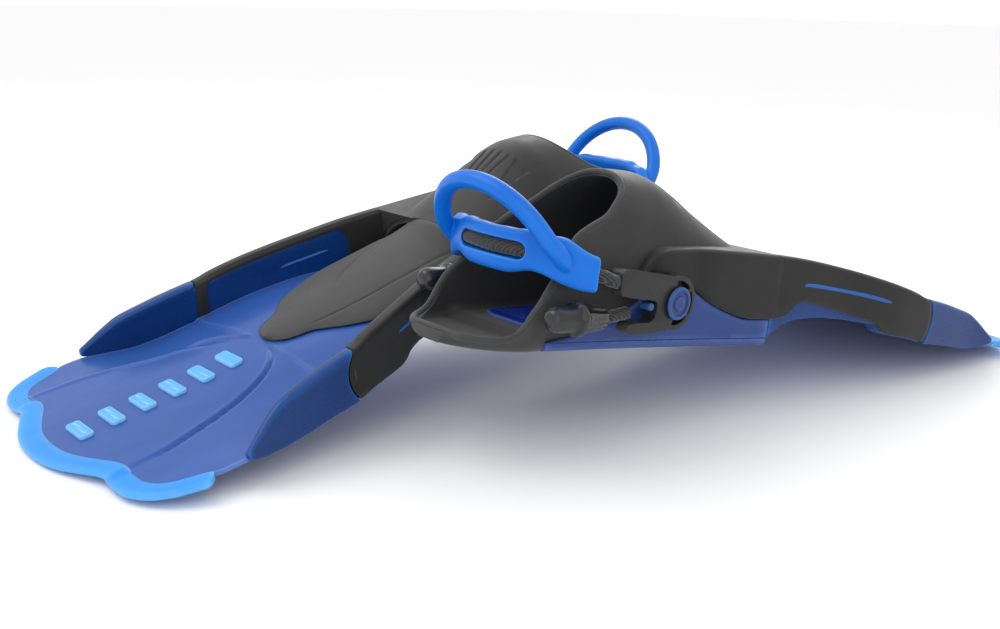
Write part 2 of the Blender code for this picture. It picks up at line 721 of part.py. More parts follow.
for fin, turn in (("fin_a", math.pi), ("fin_b", 0.0)):
    frame = bpy.data.objects.new(fin + "_frame", None)
    PARTS.objects.link(frame)
    frame.matrix_world = (
        Matrix.Rotation(turn, 4, "Z")
        @ Matrix.Translation((FIN_BACK, FIN_SIDE, FIN_UP))
        @ Matrix.Rotation(NOSE_DOWN, 4, "Y")
    )
    # The strap's empty sits on the line through both studs.
    pivot = bpy.data.objects.new(fin + "_strap_pivot", None)
    PARTS.objects.link(pivot)
    pivot.parent = frame
    pivot.location = (STUD[0] * MM, 0, STUD[1] * MM)
    for shape, (mesh, colour, body) in SHAPES.items():
        obj = bpy.data.objects.new(f"{fin}_{shape}", mesh)
        PARTS.objects.link(obj)
        if not mesh.materials:
            mesh.materials.append(COLOURS[colour])
        if body == "fin":
            obj.parent = frame
        else:
            obj.parent = pivot
            obj.matrix_parent_inverse = Matrix.Translation((-STUD[0] * MM, 0, -STUD[1] * MM))
bpy.context.view_layer.update()
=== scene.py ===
"""Looks for the pair of swim fins: high-resolution pieces and procedural
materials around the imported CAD, a pale studio and a camera at the photo's angle.

Every piece is built in fin-local millimetres (X heel to tip, Y left, Z up) from
the same curves as the CAD, then placed with the fin's own matrix.
"""
import math

import bmesh
import bpy
from mathutils import Matrix, Vector


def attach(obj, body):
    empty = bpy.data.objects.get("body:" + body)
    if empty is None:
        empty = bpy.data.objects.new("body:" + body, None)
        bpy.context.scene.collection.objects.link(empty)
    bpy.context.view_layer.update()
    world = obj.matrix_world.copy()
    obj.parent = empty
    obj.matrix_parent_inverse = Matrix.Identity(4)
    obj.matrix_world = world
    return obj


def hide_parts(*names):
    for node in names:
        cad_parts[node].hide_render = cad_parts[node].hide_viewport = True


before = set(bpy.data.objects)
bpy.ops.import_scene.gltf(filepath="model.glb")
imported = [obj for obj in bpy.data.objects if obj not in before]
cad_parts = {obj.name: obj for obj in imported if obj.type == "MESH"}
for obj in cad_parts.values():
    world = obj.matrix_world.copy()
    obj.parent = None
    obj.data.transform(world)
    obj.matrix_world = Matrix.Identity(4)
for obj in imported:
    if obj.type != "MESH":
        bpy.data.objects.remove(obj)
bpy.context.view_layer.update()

MM = 0.001
GAP = 0.3
NOSE_DOWN = math.radians(7.95)
FIN_BACK, FIN_SIDE = -187.6 * MM, -76.0 * MM
RAIL_END = 466.0
SOLE_T, FLOOR_T, BED_T = 4.0, 2.5, 2.4
WALL, SKIN = 4.0, 2.8
BLADE_T, TRIM_W, TRIM_T = 3.4, 11.5, 6.0
STUD, STUD_R = (142.5, 31.6), 8.6
BUCKLE_IN, BUCKLE_OUT, RING_R = 57.2, 66.0, 16.5
CORD_R, CORD_Y = 4.0, 61.6
TOGGLE = (57.0, 22.5)
PAD_T, LOOP_R = 11.0, 5.4


# ---------------------------------------------------------------- curves
def smooth(*knots):
    xs = [k[0] for k in knots]
    ys = [k[1] for k in knots]
    n = len(xs)
    slope = [(ys[i + 1] - ys[i]) / (xs[i + 1] - xs[i]) for i in range(n - 1)]
    tang = [slope[0]] + [0.0] * (n - 2) + [slope[-1]]
    for i in range(1, n - 1):
        if slope[i - 1] * slope[i] > 0:
            tang[i] = 2 * slope[i - 1] * slope[i] / (slope[i - 1] + slope[i])

    def at(x):
        if x <= xs[0]:
            return ys[0]
        if x >= xs[-1]:
            return ys[-1]
        i = max(j for j in range(n - 1) if xs[j] <= x)
        h = xs[i + 1] - xs[i]
        t = (x - xs[i]) / h
        return (
            (2 * t**3 - 3 * t**2 + 1) * ys[i]
            + (t**3 - 2 * t**2 + t) * h * tang[i]
            + (-2 * t**3 + 3 * t**2) * ys[i + 1]
            + (t**3 - t**2) * h * tang[i + 1]
        )

    return at


def step(a, b, x):
    t = min(max((x - a) / (b - a), 0.0), 1.0)
    return t * t * (3 - 2 * t)


def spread(a, b, gap):
    """Evenly spaced values from a to b, no more than gap apart."""
    n = max(int(math.ceil((b - a) / gap)), 1)
    return [a + (b - a) * k / n for k in range(n + 1)]


def merged(*lists):
    out = []
    for v in sorted(v for values in lists for v in values):
        if not out or v - out[-1] > 0.3:
            out.append(v)
    return out


half_width = smooth(
    (9, 10), (12, 19), (17, 27), (24, 34), (34, 40), (46, 43.5), (66, 45.5), (85, 46.8),
    (104, 48.5), (127, 51.2), (142, 53), (165, 56), (180, 58), (200, 61), (220, 64), (240, 67),
)
instep = smooth(
    (9, 34), (34, 48), (53, 60), (78, 78), (104, 94), (127, 102), (140, 103), (152, 103),
    (162, 101), (178, 94), (196, 84), (215, 74), (238, 63), (257, 54), (300, 41.5),
    (340, 31), (372, 24), (385, 20.5),
)
RIM = (
    (-20, 7), (9, 6.5), (18, 6), (30, 6.5), (38, 9), (43, 14), (48, 22), (55, 31), (65, 41),
    (75, 53), (85, 64.5), (96, 71), (108, 77), (118, 85), (127, 92.5), (133, 99), (137, 106),
)
rim_height = smooth(*RIM)
flank_top = smooth(
    (58, 5), (80, 9), (100, 15), (120, 25), (140, 36), (158, 39.5), (170, 36), (182, 30),
    (200, 23), (222, 18), (240, 18),
)
rail_out = smooth(
    (126, 54.4), (142, 56), (165, 58), (180, 61), (200, 64), (220, 66.8), (240, 70), (268, 76),
    (302, 84), (335, 93.5), (358, 99.5), (382, 104), (410, 108), (440, 112), (466, 118),
)
rail_top = smooth(
    (126, 50), (131, 56), (138, 60.5), (150, 62.6), (180, 63.2), (220, 62), (260, 59.8),
    (300, 54.8), (340, 47.8), (382, 38), (420, 29.8), (438, 25.4), (448, 20), (458, 13),
    (466, 7.5),
)
rail_foot = smooth(
    (240, 6), (250, 13), (262, 18), (285, 20), (318, 18), (334, 16), (340, 10.5), (360, 7.8),
    (400, 2.6), (440, -1.2), (455, 0), (466, 3),
)
rail_width = smooth((126, 10), (240, 12), (388, 11), (430, 9), (466, 5))
web_mid = smooth(
    (240, 8.8), (252, 15), (262, 21.5), (280, 26.5), (300, 28), (340, 24.5), (384, 17.3),
    (420, 10.2), (466, 5), (500, 2.2), (534, -0.4),
)
web_side = smooth(
    (240, 8.8), (252, 15), (262, 21.5), (300, 25), (340, 20.5), (357, 17), (391, 9.5),
    (436, 3), (466, 3.4), (500, 1.2), (534, -1),
)
panel_half = smooth(
    (386, 0), (386.6, 6), (388, 12), (391, 18.5), (396, 25.5), (405, 33.5), (419, 41), (442, 50.5), (468, 59), (492, 64.5), (534, 68),
)
tongue_half = smooth(
    (240, 55), (255, 58), (270, 60), (296, 58), (322, 52), (344, 41.5), (355, 31.5), (362, 24),
    (372, 20), (379, 15.5), (383, 9.5), (385, 3),
)
tail_edge = smooth(
    (0, 533.4), (10, 533), (22, 531), (34, 527), (46, 521.6), (56, 517.4), (64, 515.8),
    (74, 516.4), (84, 516.2), (92, 513.6), (98, 509.5), (103, 503),
)
panel_half_cad = smooth(
    (386, 0), (389, 14), (394, 24), (405, 37), (420, 46), (445, 55), (470, 61), (534, 72),
)


def rail_in(x):
    return rail_out(x) - rail_width(x)


def blade_base(x, y):
    """The blade's top face as the CAD has it."""
    side, mid = web_side(x), web_mid(x)
    reach = rail_in(min(x, RAIL_END)) if x < RAIL_END else 112.0
    edge = panel_half_cad(x)
    if x < 386:
        t = step(0.35, 0.95, abs(y) / reach)
        return mid + (side - mid) * t
    t = step(edge - 4, edge + 3, abs(y))
    broad = step(0.15, 0.95, abs(y) / reach)
    return (mid + 0.6) + (side - mid) * broad - 1.5 * t


lens_out = smooth((386, 0), (388, 21), (391, 29), (397, 44.3), (407, 55.5), (416, 57.5))
lens_in = smooth((386, 0), (388, 17), (393, 23.1), (406, 33), (413, 46), (416, 57))


def blade_top(x, y):
    """Blade face with its arched centre panel, groove, ridge and lens recess."""
    side, mid = web_side(x), web_mid(x)
    reach = rail_in(min(x, RAIL_END)) if x < RAIL_END else 112.0
    a = abs(y)
    blend_in = step(380, 392, x)
    flat = mid + (side - mid) * step(0.35, 0.95, a / reach)
    broad = (mid + 0.6) + (side - mid) * step(0.15, 0.95, a / reach)
    z = flat + (broad - flat) * blend_in
    edge = panel_half(x)
    if x > 386:
        fade = step(386, 389, x) * (1 - 0.55 * step(495, 530, x))
        if y > 0:
            d = a - edge
            z -= 1.5 * step(-3.5, 1.0, d) * fade
            z -= 1.7 * math.exp(-((d - 0.3) / 1.3) ** 2) * (1 - step(470, 512, x)) * step(388, 400, x)
        else:
            ridge = edge + 13.0 * step(400, 425, x) + 2.0 * step(430, 520, x)
            d = a - ridge
            z -= 1.5 * step(-3.0, 3.5, d) * fade
            z += 1.1 * math.exp(-((d + 3.0) / 2.6) ** 2) * step(398, 425, x) * (1 - 0.7 * step(480, 525, x))
            lo, hi = lens_in(x), lens_out(x)
            if x < 417 and hi > lo:
                z -= 1.5 * step(lo - 1.2, lo + 1.2, a) * (1 - step(hi - 1.4, hi + 1.4, a)) * step(386, 390, x) * (1 - step(411, 416.5, x))
    return z


# ---------------------------------------------------------------- mesh helpers
def finish(bm, name, angle=38):
    if bm.calc_volume(signed=True) < 0:
        bmesh.ops.reverse_faces(bm, faces=bm.faces)
    mesh = bpy.data.meshes.new(name)
    bm.to_mesh(mesh)
    bm.free()
    mesh.shade_smooth()
    mesh.set_sharp_from_angle(angle=math.radians(angle))
    return mesh


def loft(name, rings, angle=38, caps=True):
    bm = bmesh.new()
    rows = [[bm.verts.new((p[0] * MM, p[1] * MM, p[2] * MM)) for p in ring] for ring in rings]
    n = len(rows[0])
    for a, b in zip(rows, rows[1:]):
        for i in range(n):
            bm.faces.new((a[i], a[(i + 1) % n], b[(i + 1) % n], b[i]))
    if caps:
        bm.faces.new(rows[0][::-1])
        bm.faces.new(rows[-1])
    return finish(bm, name, angle)


def shell(name, top, low, angle=38):
    bm = bmesh.new()
    up, down = [[[bm.verts.new((x * MM, y * MM, z * MM)) for x, y, z in row] for row in grid] for grid in (top, low)]
    rows, cols = len(up), len(up[0])
    for r in range(rows - 1):
        for c in range(cols - 1):
            bm.faces.new((up[r][c], up[r + 1][c], up[r + 1][c + 1], up[r][c + 1]))
            bm.faces.new((down[r][c], down[r][c + 1], down[r + 1][c + 1], down[r + 1][c]))
        bm.faces.new((up[r][0], down[r][0], down[r + 1][0], up[r + 1][0]))
        bm.faces.new((up[r][-1], up[r + 1][-1], down[r + 1][-1], down[r][-1]))
    for c in range(cols - 1):
        bm.faces.new((up[0][c], up[0][c + 1], down[0][c + 1], down[0][c]))
        bm.faces.new((up[-1][c], down[-1][c], down[-1][c + 1], up[-1][c + 1]))
    return finish(bm, name, angle)


def plate(name, outline, y0, y1):
    return loft(name, [[(x, y, z) for x, z in outline] for y in (y0, y1)])


def tube(name, points, radius, sides=24, caps_round=False, closed=False):
    pts = [Vector(p) for p in points]
    rings, up, n = [], None, len(pts)
    for i, p in enumerate(pts):
        if closed:
            t = (pts[(i + 1) % n] - pts[i - 1]).normalized()
        else:
            t = (pts[min(i + 1, n - 1)] - pts[max(i - 1, 0)]).normalized()
        if up is None:
            up = t.orthogonal().normalized()
        up = (up - t * up.dot(t)).normalized()
        side = t.cross(up)
        r = radius(i / (n - 1)) if callable(radius) else radius
        rings.append([tuple(p + (up * math.cos(a) + side * math.sin(a)) * r) for a in (2 * math.pi * k / sides for k in range(sides))])
    return loft(name, rings)


def resampled(points, gap):
    """A Catmull-Rom line through the points, at an even spacing."""
    pts = [Vector(p) for p in points]
    dense = []
    for i in range(len(pts) - 1):
        p0, p1, p2, p3 = pts[max(i - 1, 0)], pts[i], pts[i + 1], pts[min(i + 2, len(pts) - 1)]
        for k in range(12):
            t = k / 12
            dense.append(0.5 * ((2 * p1) + (p2 - p0) * t + (2 * p0 - 5 * p1 + 4 * p2 - p3) * t * t + (3 * p1 - p0 - 3 * p2 + p3) * t**3))
    dense.append(pts[-1])
    lengths = [0.0]
    for a, b in zip(dense, dense[1:]):
        lengths.append(lengths[-1] + (b - a).length)
    out, j = [], 0
    n = max(int(round(lengths[-1] / gap)), 2)
    for k in range(n + 1):
        goal = lengths[-1] * k / n
        while j < len(dense) - 2 and lengths[j + 1] < goal:
            j += 1
        span = lengths[j + 1] - lengths[j]
        out.append(dense[j].lerp(dense[j + 1], (goal - lengths[j]) / span if span else 0.0))
    return out


def turned(name, profile, sides=40):
    rings = [[(x, r * math.cos(2 * math.pi * k / sides), r * math.sin(2 * math.pi * k / sides)) for k in range(sides)] for x, r in profile]
    return loft(name, rings)


def mirrored(mesh, name):
    bm = bmesh.new()
    bm.from_mesh(mesh)
    for v in bm.verts:
        v.co.y = -v.co.y
    bmesh.ops.reverse_faces(bm, faces=bm.faces)
    return finish(bm, name)


def joined(name, meshes):
    bm = bmesh.new()
    for mesh in meshes:
        bm.from_mesh(mesh)
    made = bpy.data.meshes.new(name)
    bm.to_mesh(made)
    bm.free()
    made.shade_smooth()
    made.set_sharp_from_angle(angle=math.radians(38))
    return made


def worked(name, base, steps, bevel=0.0, segments=2, remesh=0.0, angle=38):
    """The mesh left after Boolean steps, with its edges rounded."""
    body = bpy.data.objects.new(name + "_work", base)
    bpy.context.scene.collection.objects.link(body)
    tools = []
    for i, (operation, cutter) in enumerate(steps):
        tool = bpy.data.objects.new(f"{name}_cut_{i}", cutter)
        bpy.context.scene.collection.objects.link(tool)
        tools.append(tool)
        mod = body.modifiers.new(f"cut_{i}", "BOOLEAN")
        mod.operation, mod.solver, mod.object = operation, "EXACT", tool
    if remesh:
        mod = body.modifiers.new("remesh", "REMESH")
        mod.mode, mod.voxel_size = "VOXEL", remesh * MM
        soft = body.modifiers.new("soft", "SMOOTH")
        soft.factor, soft.iterations = 0.5, 16
    if bevel:
        weld = body.modifiers.new("weld", "WELD")
        weld.merge_threshold = 0.00003
        mod = body.modifiers.new("edge", "BEVEL")
        mod.width, mod.segments, mod.limit_method = bevel * MM, segments, "ANGLE"
        mod.angle_limit, mod.use_clamp_overlap = math.radians(42), True
    bpy.context.view_layer.update()
    made = bpy.data.meshes.new_from_object(body.evaluated_get(bpy.context.evaluated_depsgraph_get()))
    for obj in [body, *tools]:
        bpy.data.objects.remove(obj, do_unlink=True)
    bm = bmesh.new()
    bm.from_mesh(made)
    bmesh.ops.remove_doubles(bm, verts=bm.verts, dist=0.00001)
    return finish(bm, name, angle)


# ---------------------------------------------------------------- foot pocket
def instep_relief(x, y):
    """Four slots and two side panels pressed into the instep, above the ankle."""
    a = abs(y)
    deep = 0.0
    if 164 < x < 216:
        run = (x - 168.5) / 26.0
        if 0 <= run <= 1:
            for c in (4.4, 13.6):
                mid = c * (1 - 0.25 * run)
                wide = 1.7 * (1 - 0.55 * run)
                deep = max(deep, 1.3 * (1 - step(wide - 0.5, wide + 0.7, abs(a - mid))) * step(0, 0.05, run) * (1 - step(0.8, 1.0, run)))
        run = (x - 168.5) / 38.0
        if 0 <= run <= 1:
            inner = 19.5 + 7.5 * run
            outer = 33.0 - 3.5 * run
            deep = max(deep, 1.25 * step(inner - 0.6, inner + 0.6, a) * (1 - step(outer - 0.6, outer + 0.6, a)) * step(0, 0.04, run) * (1 - step(0.93, 1, run)))
    return deep


def arch_ring(x, inset, floor, n=30, power=2.3, relief=False):
    w = half_width(x) - SKIN * step(50, 66, x) - inset
    h = instep(x) - inset
    base = min(25.0, floor + (h - floor) * 0.45)
    corner = 5.0 if w > 12 else 1.5
    half = [(w - corner, floor)]
    for k in (1, 2, 3):
        a = math.pi / 2 * k / 4
        half.append((w - corner + corner * math.sin(a), floor + corner - corner * math.cos(a)))
    half.append((w, floor + corner))
    for k in range(1, 4):
        half.append((w, floor + corner + (base - floor - corner) * k / 4))
    for k in range(n):
        a = (math.pi / 2) * k / (n - 1)
        half.append((max(w * math.cos(a) ** (2 / power), 0.0), base + (h - base) * math.sin(a) ** (2 / power)))
    half[-1] = (0.0, h)
    if relief:
        half = [(y, z - (instep_relief(x, y) if z > 55 else 0.0)) for y, z in half]
    return [(x, y, z) for y, z in half] + [(x, -y, z) for y, z in half[:-1][::-1]]


def pocket_floor(x):
    return SOLE_T + GAP if x > 58.3 else 0.0


def top_ring(x, inset, floor):
    """arch_ring with its arch points even in Y, for the pressed instep detail."""
    w = half_width(x) - SKIN * step(50, 66, x) - inset
    h = instep(x) - inset
    base = min(25.0, floor + (h - floor) * 0.45)
    ring = arch_ring(x, inset, floor)
    low = [p for p in ring if p[2] <= base + 0.001 and p[1] > 0]
    ys = [w * (1 - (k / 9) ** 1.8 * 0.2) for k in range(1, 9)]
    last, span = ys[-1], min(36.0, 0.7 * w)
    ys += [last - (last - span) * k / 5 for k in range(1, 5)]
    ys += [span - span * k / 44 for k in range(0, 45)]
    half = [(p[1], p[2]) for p in low]
    for y in ys:
        z = base + (h - base) * max(1 - min(max(y, 0.0) / w, 1.0) ** 2.3, 0.0) ** (1 / 2.3)
        half.append((max(y, 0.0), z - (instep_relief(x, y) if z > 50 else 0.0)))
    return [(x, y, z) for y, z in half] + [(x, -y, z) for y, z in half[:-1][::-1]]


def pocket_skin(grow=0.0, gap=6.0):
    xs = merged([9, 10, 12, 14.5, 17.5, 21, 25, 30, 35, 41, 48, 56], [58.4], spread(64, 240, gap))
    rings = [arch_ring(x, -grow, pocket_floor(x) - grow) for x in xs]
    if grow:
        rings = [[(x - 1.0, y, z) for x, y, z in rings[0]], *rings, [(x + 2.0, y, z) for x, y, z in rings[-1]]]
    return rings


def wall_mid(x, z, inset):
    """Half width of the pocket wall's middle at height z."""
    w = half_width(x) - SKIN * step(50, 66, x) - inset
    h = instep(x) - inset
    base = min(25.0, pocket_floor(x) + (h - pocket_floor(x)) * 0.45)
    if z <= base:
        return w
    k = min((z - base) / (h - base), 1.0)
    return w * max(1 - k**2.3, 0.0) ** (1 / 2.3)


def rim_bead():
    """Rounded lip along the cut edge of the rubber."""
    line = [(12.0, 0.0, 6.6), (12.0, 4.0, 6.6), (12.3, 8.0, 6.6)]
    x = 13.4
    while x < 136:
        z = rim_height(x)
        y = wall_mid(x, z, WALL / 2)
        if y <= 1.0:
            break
        line.append((x, y, z))
        x += 0.2
    line.append((line[-1][0] + 0.4, 0.0, line[-1][2] + 0.4))
    side = resampled(thinned(line, 3.0), 2.0)
    full = [(p[0], -p[1], p[2]) for p in side[:0:-1]] + [tuple(p) for p in side]
    return tube("rim_bead", full, 2.25, 16)


def thinned(line, gap):
    out = [Vector(line[0])]
    for p in line[1:-1]:
        if (Vector(p) - out[-1]).length >= gap:
            out.append(Vector(p))
    out.append(Vector(line[-1]))
    return [tuple(p) for p in out]


def pocket():
    xs = merged([9, 10, 12, 14.5, 17.5, 21, 25, 30, 35, 41, 48, 56, 58.0, 58.4], spread(62, 164, 5), spread(166, 210, 1.1), spread(214, 240, 5))
    outer = loft("pocket_outer", [top_ring(x, 0.0, pocket_floor(x)) for x in xs])
    inner = []
    for x in merged([14.5, 16, 18, 21, 24, 29, 34, 40, 46, 52, 58], spread(64, 246, 7)):
        near = max(half_width(x - 3.2) - WALL, 5.0)
        inset = half_width(x) - near
        inner.append(arch_ring(x, inset if x < 60 else WALL, 3.4 if x < 58 else SOLE_T + FLOOR_T + 0.3))
    rim = [(x, rim_height(x)) for x in merged([-20], spread(9, 137, 2.5))] + [(137.5, 150), (-20, 150)]
    shape = worked(
        "foot_pocket", outer,
        [("DIFFERENCE", plate("rim_cut", rim, -90, 90)), ("DIFFERENCE", loft("hollow", inner))],
    )
    ridges = []
    # Grip ridges on the heel lip.
    for k in range(9):
        a = math.radians(-52 + 13 * k)
        x, y = 34 - 24.6 * math.cos(a), 33 * math.sin(a)
        x = max(x, 9.6)
        ridges.append(tube(f"ridge_{k}", [(x + 2.2, y * 0.94, 2.2), (x + 0.4, y, 4.4), (x + 2.2, y * 0.95, 6.6)], 0.9, 8))
    return joined("foot_pocket", [shape, rim_bead(), *ridges])


def chassis():
    rings = []
    for x in merged([58.4], spread(60, 240, 4.5)):
        w, top = half_width(x), flank_top(x)
        half = [(w - 6, 0.0), (w - 3.2, 0.3), (w - 1.4, 1.2), (w - 0.3, 2.4), (w, 3.4)]
        half += [(w, 3.4 + (max(top - 1.2, 3.8) - 3.4) * k / 6) for k in range(1, 7)]
        half += [(w - 0.3, max(top - 0.4, 4.1)), (w - 1.0, max(top + 0.2, 4.4)), (w - 2.2, max(top + 0.4, 4.6)), (w - 9, max(top + 0.4, 4.6))]
        # A moulding seam just above the bottom edge.
        half[4:4] = []
        rings.append([(x, y, z) for y, z in half] + [(x, -y, z) for y, z in half[::-1]])
    steps = [("DIFFERENCE", loft("pocket_room", pocket_skin(0.3)))]
    for side in (1, -1):
        seam = []
        for x in spread(56, 243, 6):
            w = half_width(x)
            ring = [(x, side * (w - 0.55), 5.6), (x, side * (w + 1.5), 5.1), (x, side * (w + 1.5), 6.5), (x, side * (w - 0.55), 6.1)]
            seam.append(ring)
        steps.append(("DIFFERENCE", loft(f"seam_{side}", seam)))
    # Tread grooves under the sole.
    for k in range(9):
        x = 78 + k * 17
        steps.append(("DIFFERENCE", loft(f"tread_{k}", [[(x + abs(y) * 0.18, y, -2), (x + 3 + abs(y) * 0.18, y, -2), (x + 3 + abs(y) * 0.18, y, 1.1), (x + abs(y) * 0.18, y, 1.1)] for y in (-34, 0, 34)])))
    return worked("outsole", loft("outsole_block", rings), steps, bevel=0.25, segments=1)


def footbed():
    z0 = SOLE_T + 0.3 + FLOOR_T + 0.3
    def side(x):
        return half_width(x) - SKIN - WALL - 5.6
    taper = smooth((72, 0.45), (74, 0.66), (78, 0.86), (84, 0.97), (92, 1.0))
    top, low = [], []
    xs = spread(72, 234, 1.15)
    for i, x in enumerate(xs):
        w = side(x) * taper(x)
        row_t, row_l = [], []
        for k in range(33):
            v = -1 + 2 * k / 32
            edge = 1 - step(0.93, 1.0, abs(v)) * 0.4
            rib = 0.5 + 0.5 * math.cos(2 * math.pi * x / 6.9)
            inside = (1 - step(0.74, 0.82, abs(v))) * step(80, 84, x) * (1 - step(224, 230, x))
            z = z0 + (BED_T - 0.75) * edge + 0.75 * step(0.25, 0.75, rib) * inside
            row_t.append((x, v * w, z))
            row_l.append((x, v * w, z0))
        top.append(row_t)
        low.append(row_l)
    return shell("footbed", top, low)


# ---------------------------------------------------------------- blade
def blade():
    rows = []
    vs = [-1 + 2 * k / 150 for k in range(151)]
    for x in merged(spread(240.3, 380, 5), spread(382, 465.7, 1.5)):
        y1 = rail_in(x) - GAP
        rows.append([(x, v * y1) for v in vs])
    start = RAIL_END + 0.4
    n = 40
    for j in range(n + 1):
        u = j / n
        row = []
        for v in vs:
            wide = 112.6 - 9.8 * step(0.3, 1.0, u) * abs(v) ** 2
            y = v * wide
            end = tail_edge(abs(y) * 103 / 102.8) - 0.5
            row.append((start + (end - start) * u, y))
        rows.append(row)
    top = [[(x, y, blade_top(x, y)) for x, y in row] for row in rows]
    low = [[(x, y, blade_base(x, y) - BLADE_T + 1.2 * step(300, 530, x) + 0.0) for x, y in row] for row in rows]
    # Keep a real wall under the grooves.
    low = [[(x, y, min(z, t[2] - 1.0)) for (x, y, z), t in zip(lr, tr)] for lr, tr in zip(low, top)]
    return shell("blade", top, low, angle=30)


def bars():
    """Six plain raised bars where the photo has lettering."""
    made = []
    pitch = 122.0 / 6
    for i in range(6):
        xc = 402.0 + (i + 0.5) * pitch
        lx, ly, r = 4.6, 12.2, 2.6
        rings = []
        for inset, lift in ((0.0, -0.4), (0.0, 1.35), (0.25, 1.75), (0.75, 2.0), (1.4, 2.08), (3.4, 2.1)):
            ring = []
            for k in range(48):
                a = 2 * math.pi * k / 48
                cx = math.copysign(max(lx - r, 0), math.cos(a)) + (r - min(inset, r - 0.2)) * math.cos(a)
                cy = math.copysign(max(ly - r, 0), math.sin(a)) + (r - min(inset, r - 0.2)) * math.sin(a)
                if inset > r - 0.2:
                    f = (lx - inset) / (lx - r + 0.2)
                    cx *= max(f, 0.3)
                x, y = xc + cx, cy
                ring.append((x, y, blade_top(x, y) + 0.3 + lift * 0.95))
            rings.append(ring)
        made.append(loft(f"bar_{i}", rings, angle=50))
    return joined("blade_bars", made)


def trim_path():
    pts = [(tail_edge(y), y) for y in (0, 8, 16, 24, 32, 40, 46, 51, 55, 59, 63, 67, 72, 77, 82, 86, 90, 93.5, 96.5, 99, 101.2, 103)]
    pts += [(501.5, 103.6), (499.5, 104.4), (496, 106), (492, 107.6), (488, 109.3), (484.5, 111)]
    line = resampled([(x, y, 0) for x, y in pts], 1.6)
    out = []
    for i, p in enumerate(line):
        a, b = line[max(i - 1, 0)], line[min(i + 1, len(line) - 1)]
        tx, ty = (0.0, 1.0) if i == 0 else (b.x - a.x, b.y - a.y)
        n = math.hypot(tx, ty)
        out.append((p.x, p.y, ty / n, -tx / n))
    return out


def trim():
    half = trim_path()
    full = [(x, -y, nx, -ny) for x, y, nx, ny in half[:0:-1]] + half
    rings, last = [], len(full) - 1
    for i, (x, y, nx, ny) in enumerate(full):
        end = min(i, last - i) * 1.6
        cap = 1.0 if end > 6 else 0.35 + 0.65 * math.sqrt(max(1 - (1 - end / 6) ** 2, 0))
        width = TRIM_W * cap
        high = 0.75 + 0.25 * cap
        z = blade_base(x, y) - 1.5
        ring = []
        for k in range(20):
            a = math.pi + 2 * math.pi * (k + 0.5) / 20
            ca, sa = math.cos(a), math.sin(a)
            off = 0.5 + 0.5 * math.copysign(abs(ca) ** 0.8, ca)
            dz = (3.2 if sa > 0 else 2.0) * math.copysign(abs(sa) ** 0.85, sa) * high
            lap = 3.2 * cap if sa > 0 else 0.0
            o = GAP * 0.4 - lap * (1 - off) + off * width
            ring.append((x + nx * o, y + ny * o, z + dz * TRIM_T / 6.0))
        rings.append(ring)
    return loft("tip_trim", rings, angle=60)


# ---------------------------------------------------------------- tongue
GROOVE_R = smooth((224, 40), (249, 36.4), (270, 30), (291.5, 22.9), (305, 17.8), (312, 13.5), (318, 9), (321, 5))
GROOVE_L = smooth((224, 39.3), (255, 35.1), (297, 31.5), (335, 25.6), (350, 22), (363, 18.6))


def tongue_relief(x, y):
    deep = 0.0
    if y < 0 and x < 322:
        slope = 1.0 if x < 300 else 1.6
        deep = 0.9 * math.exp(-(((-y) - GROOVE_R(x)) / (1.0 * slope)) ** 2) * (1 - step(318, 322, x))
    if y > 0 and x < 364:
        deep = 0.9 * math.exp(-((y - GROOVE_L(x)) / 1.0) ** 2) * (1 - step(352, 363, x))
    return deep * step(240, 246, x)


def dome(x, inset, n=70):
    w = min(tongue_half(x), rail_in(x) - 1.0 if x < 300 else 999) - inset * 1.2
    h = instep(x) - inset
    power = 1.0 + 0.35 * step(300, 385, x)
    half = []
    z0 = blade_base(max(x, 240.3), w) + (0.9 if not inset else -0.8)
    for k in range(n):
        if inset:
            a = (math.pi / 2) * k / (n - 1)
            y = w * math.cos(a)
            s = math.sin(a)
        else:
            u = k / (n - 1)
            y = w * (1 - u ** 1.35)
            s = math.sqrt(max(1 - (y / w) ** 2, 0.0))
        z = z0 + (h - z0) * s ** power
        if not inset:
            z = max(z, blade_base(max(x, 240.3), y) + 1.4)
        half.append((y, z))
    half[-1] = (0.0, max(h, web_mid(x) + 1.8) if not inset else h)
    if not inset:
        edge = half[0]
        half[0] = (edge[0] - 0.5, edge[1] - 0.25)
        half[1:1] = [(edge[0], edge[1] + 0.25)]
    low = 0.6 if not inset else -20.0
    right = half[:-1][::-1]
    ring = [(x, y, z - (tongue_relief(x, y) if not inset else 0)) for y, z in half]
    ring += [(x, -y, z - (tongue_relief(x, -y) if not inset else 0)) for y, z in right]
    for k in range(1, 14):
        y = -w + 2 * w * k / 14
        ring.append((x, y, blade_base(max(x, 240.3), y) + low))
    return ring


def tongue():
    outer = [dome(x, 0.0) for x in merged(spread(240.3, 366, 2.2), spread(367, 384, 1.4), [384.6, 385])]
    inner = [dome(x, 3.4, 24) for x in spread(230, 324, 8)]
    return worked("tongue", loft("tongue_skin", outer), [("DIFFERENCE", loft("tongue_hollow", inner))], angle=45)


# ---------------------------------------------------------------- rails
def warp(x, z):
    """Bows the front edge of the overmould, and the rail's step with it."""
    mid = (rail_top(388) + rail_foot(388)) / 2
    hh = (rail_top(388) - rail_foot(388)) / 2
    return x - 6.5 * min(((z - mid) / hh) ** 2, 1.2) * math.exp(-((x - 388.8) / 13.0) ** 2)


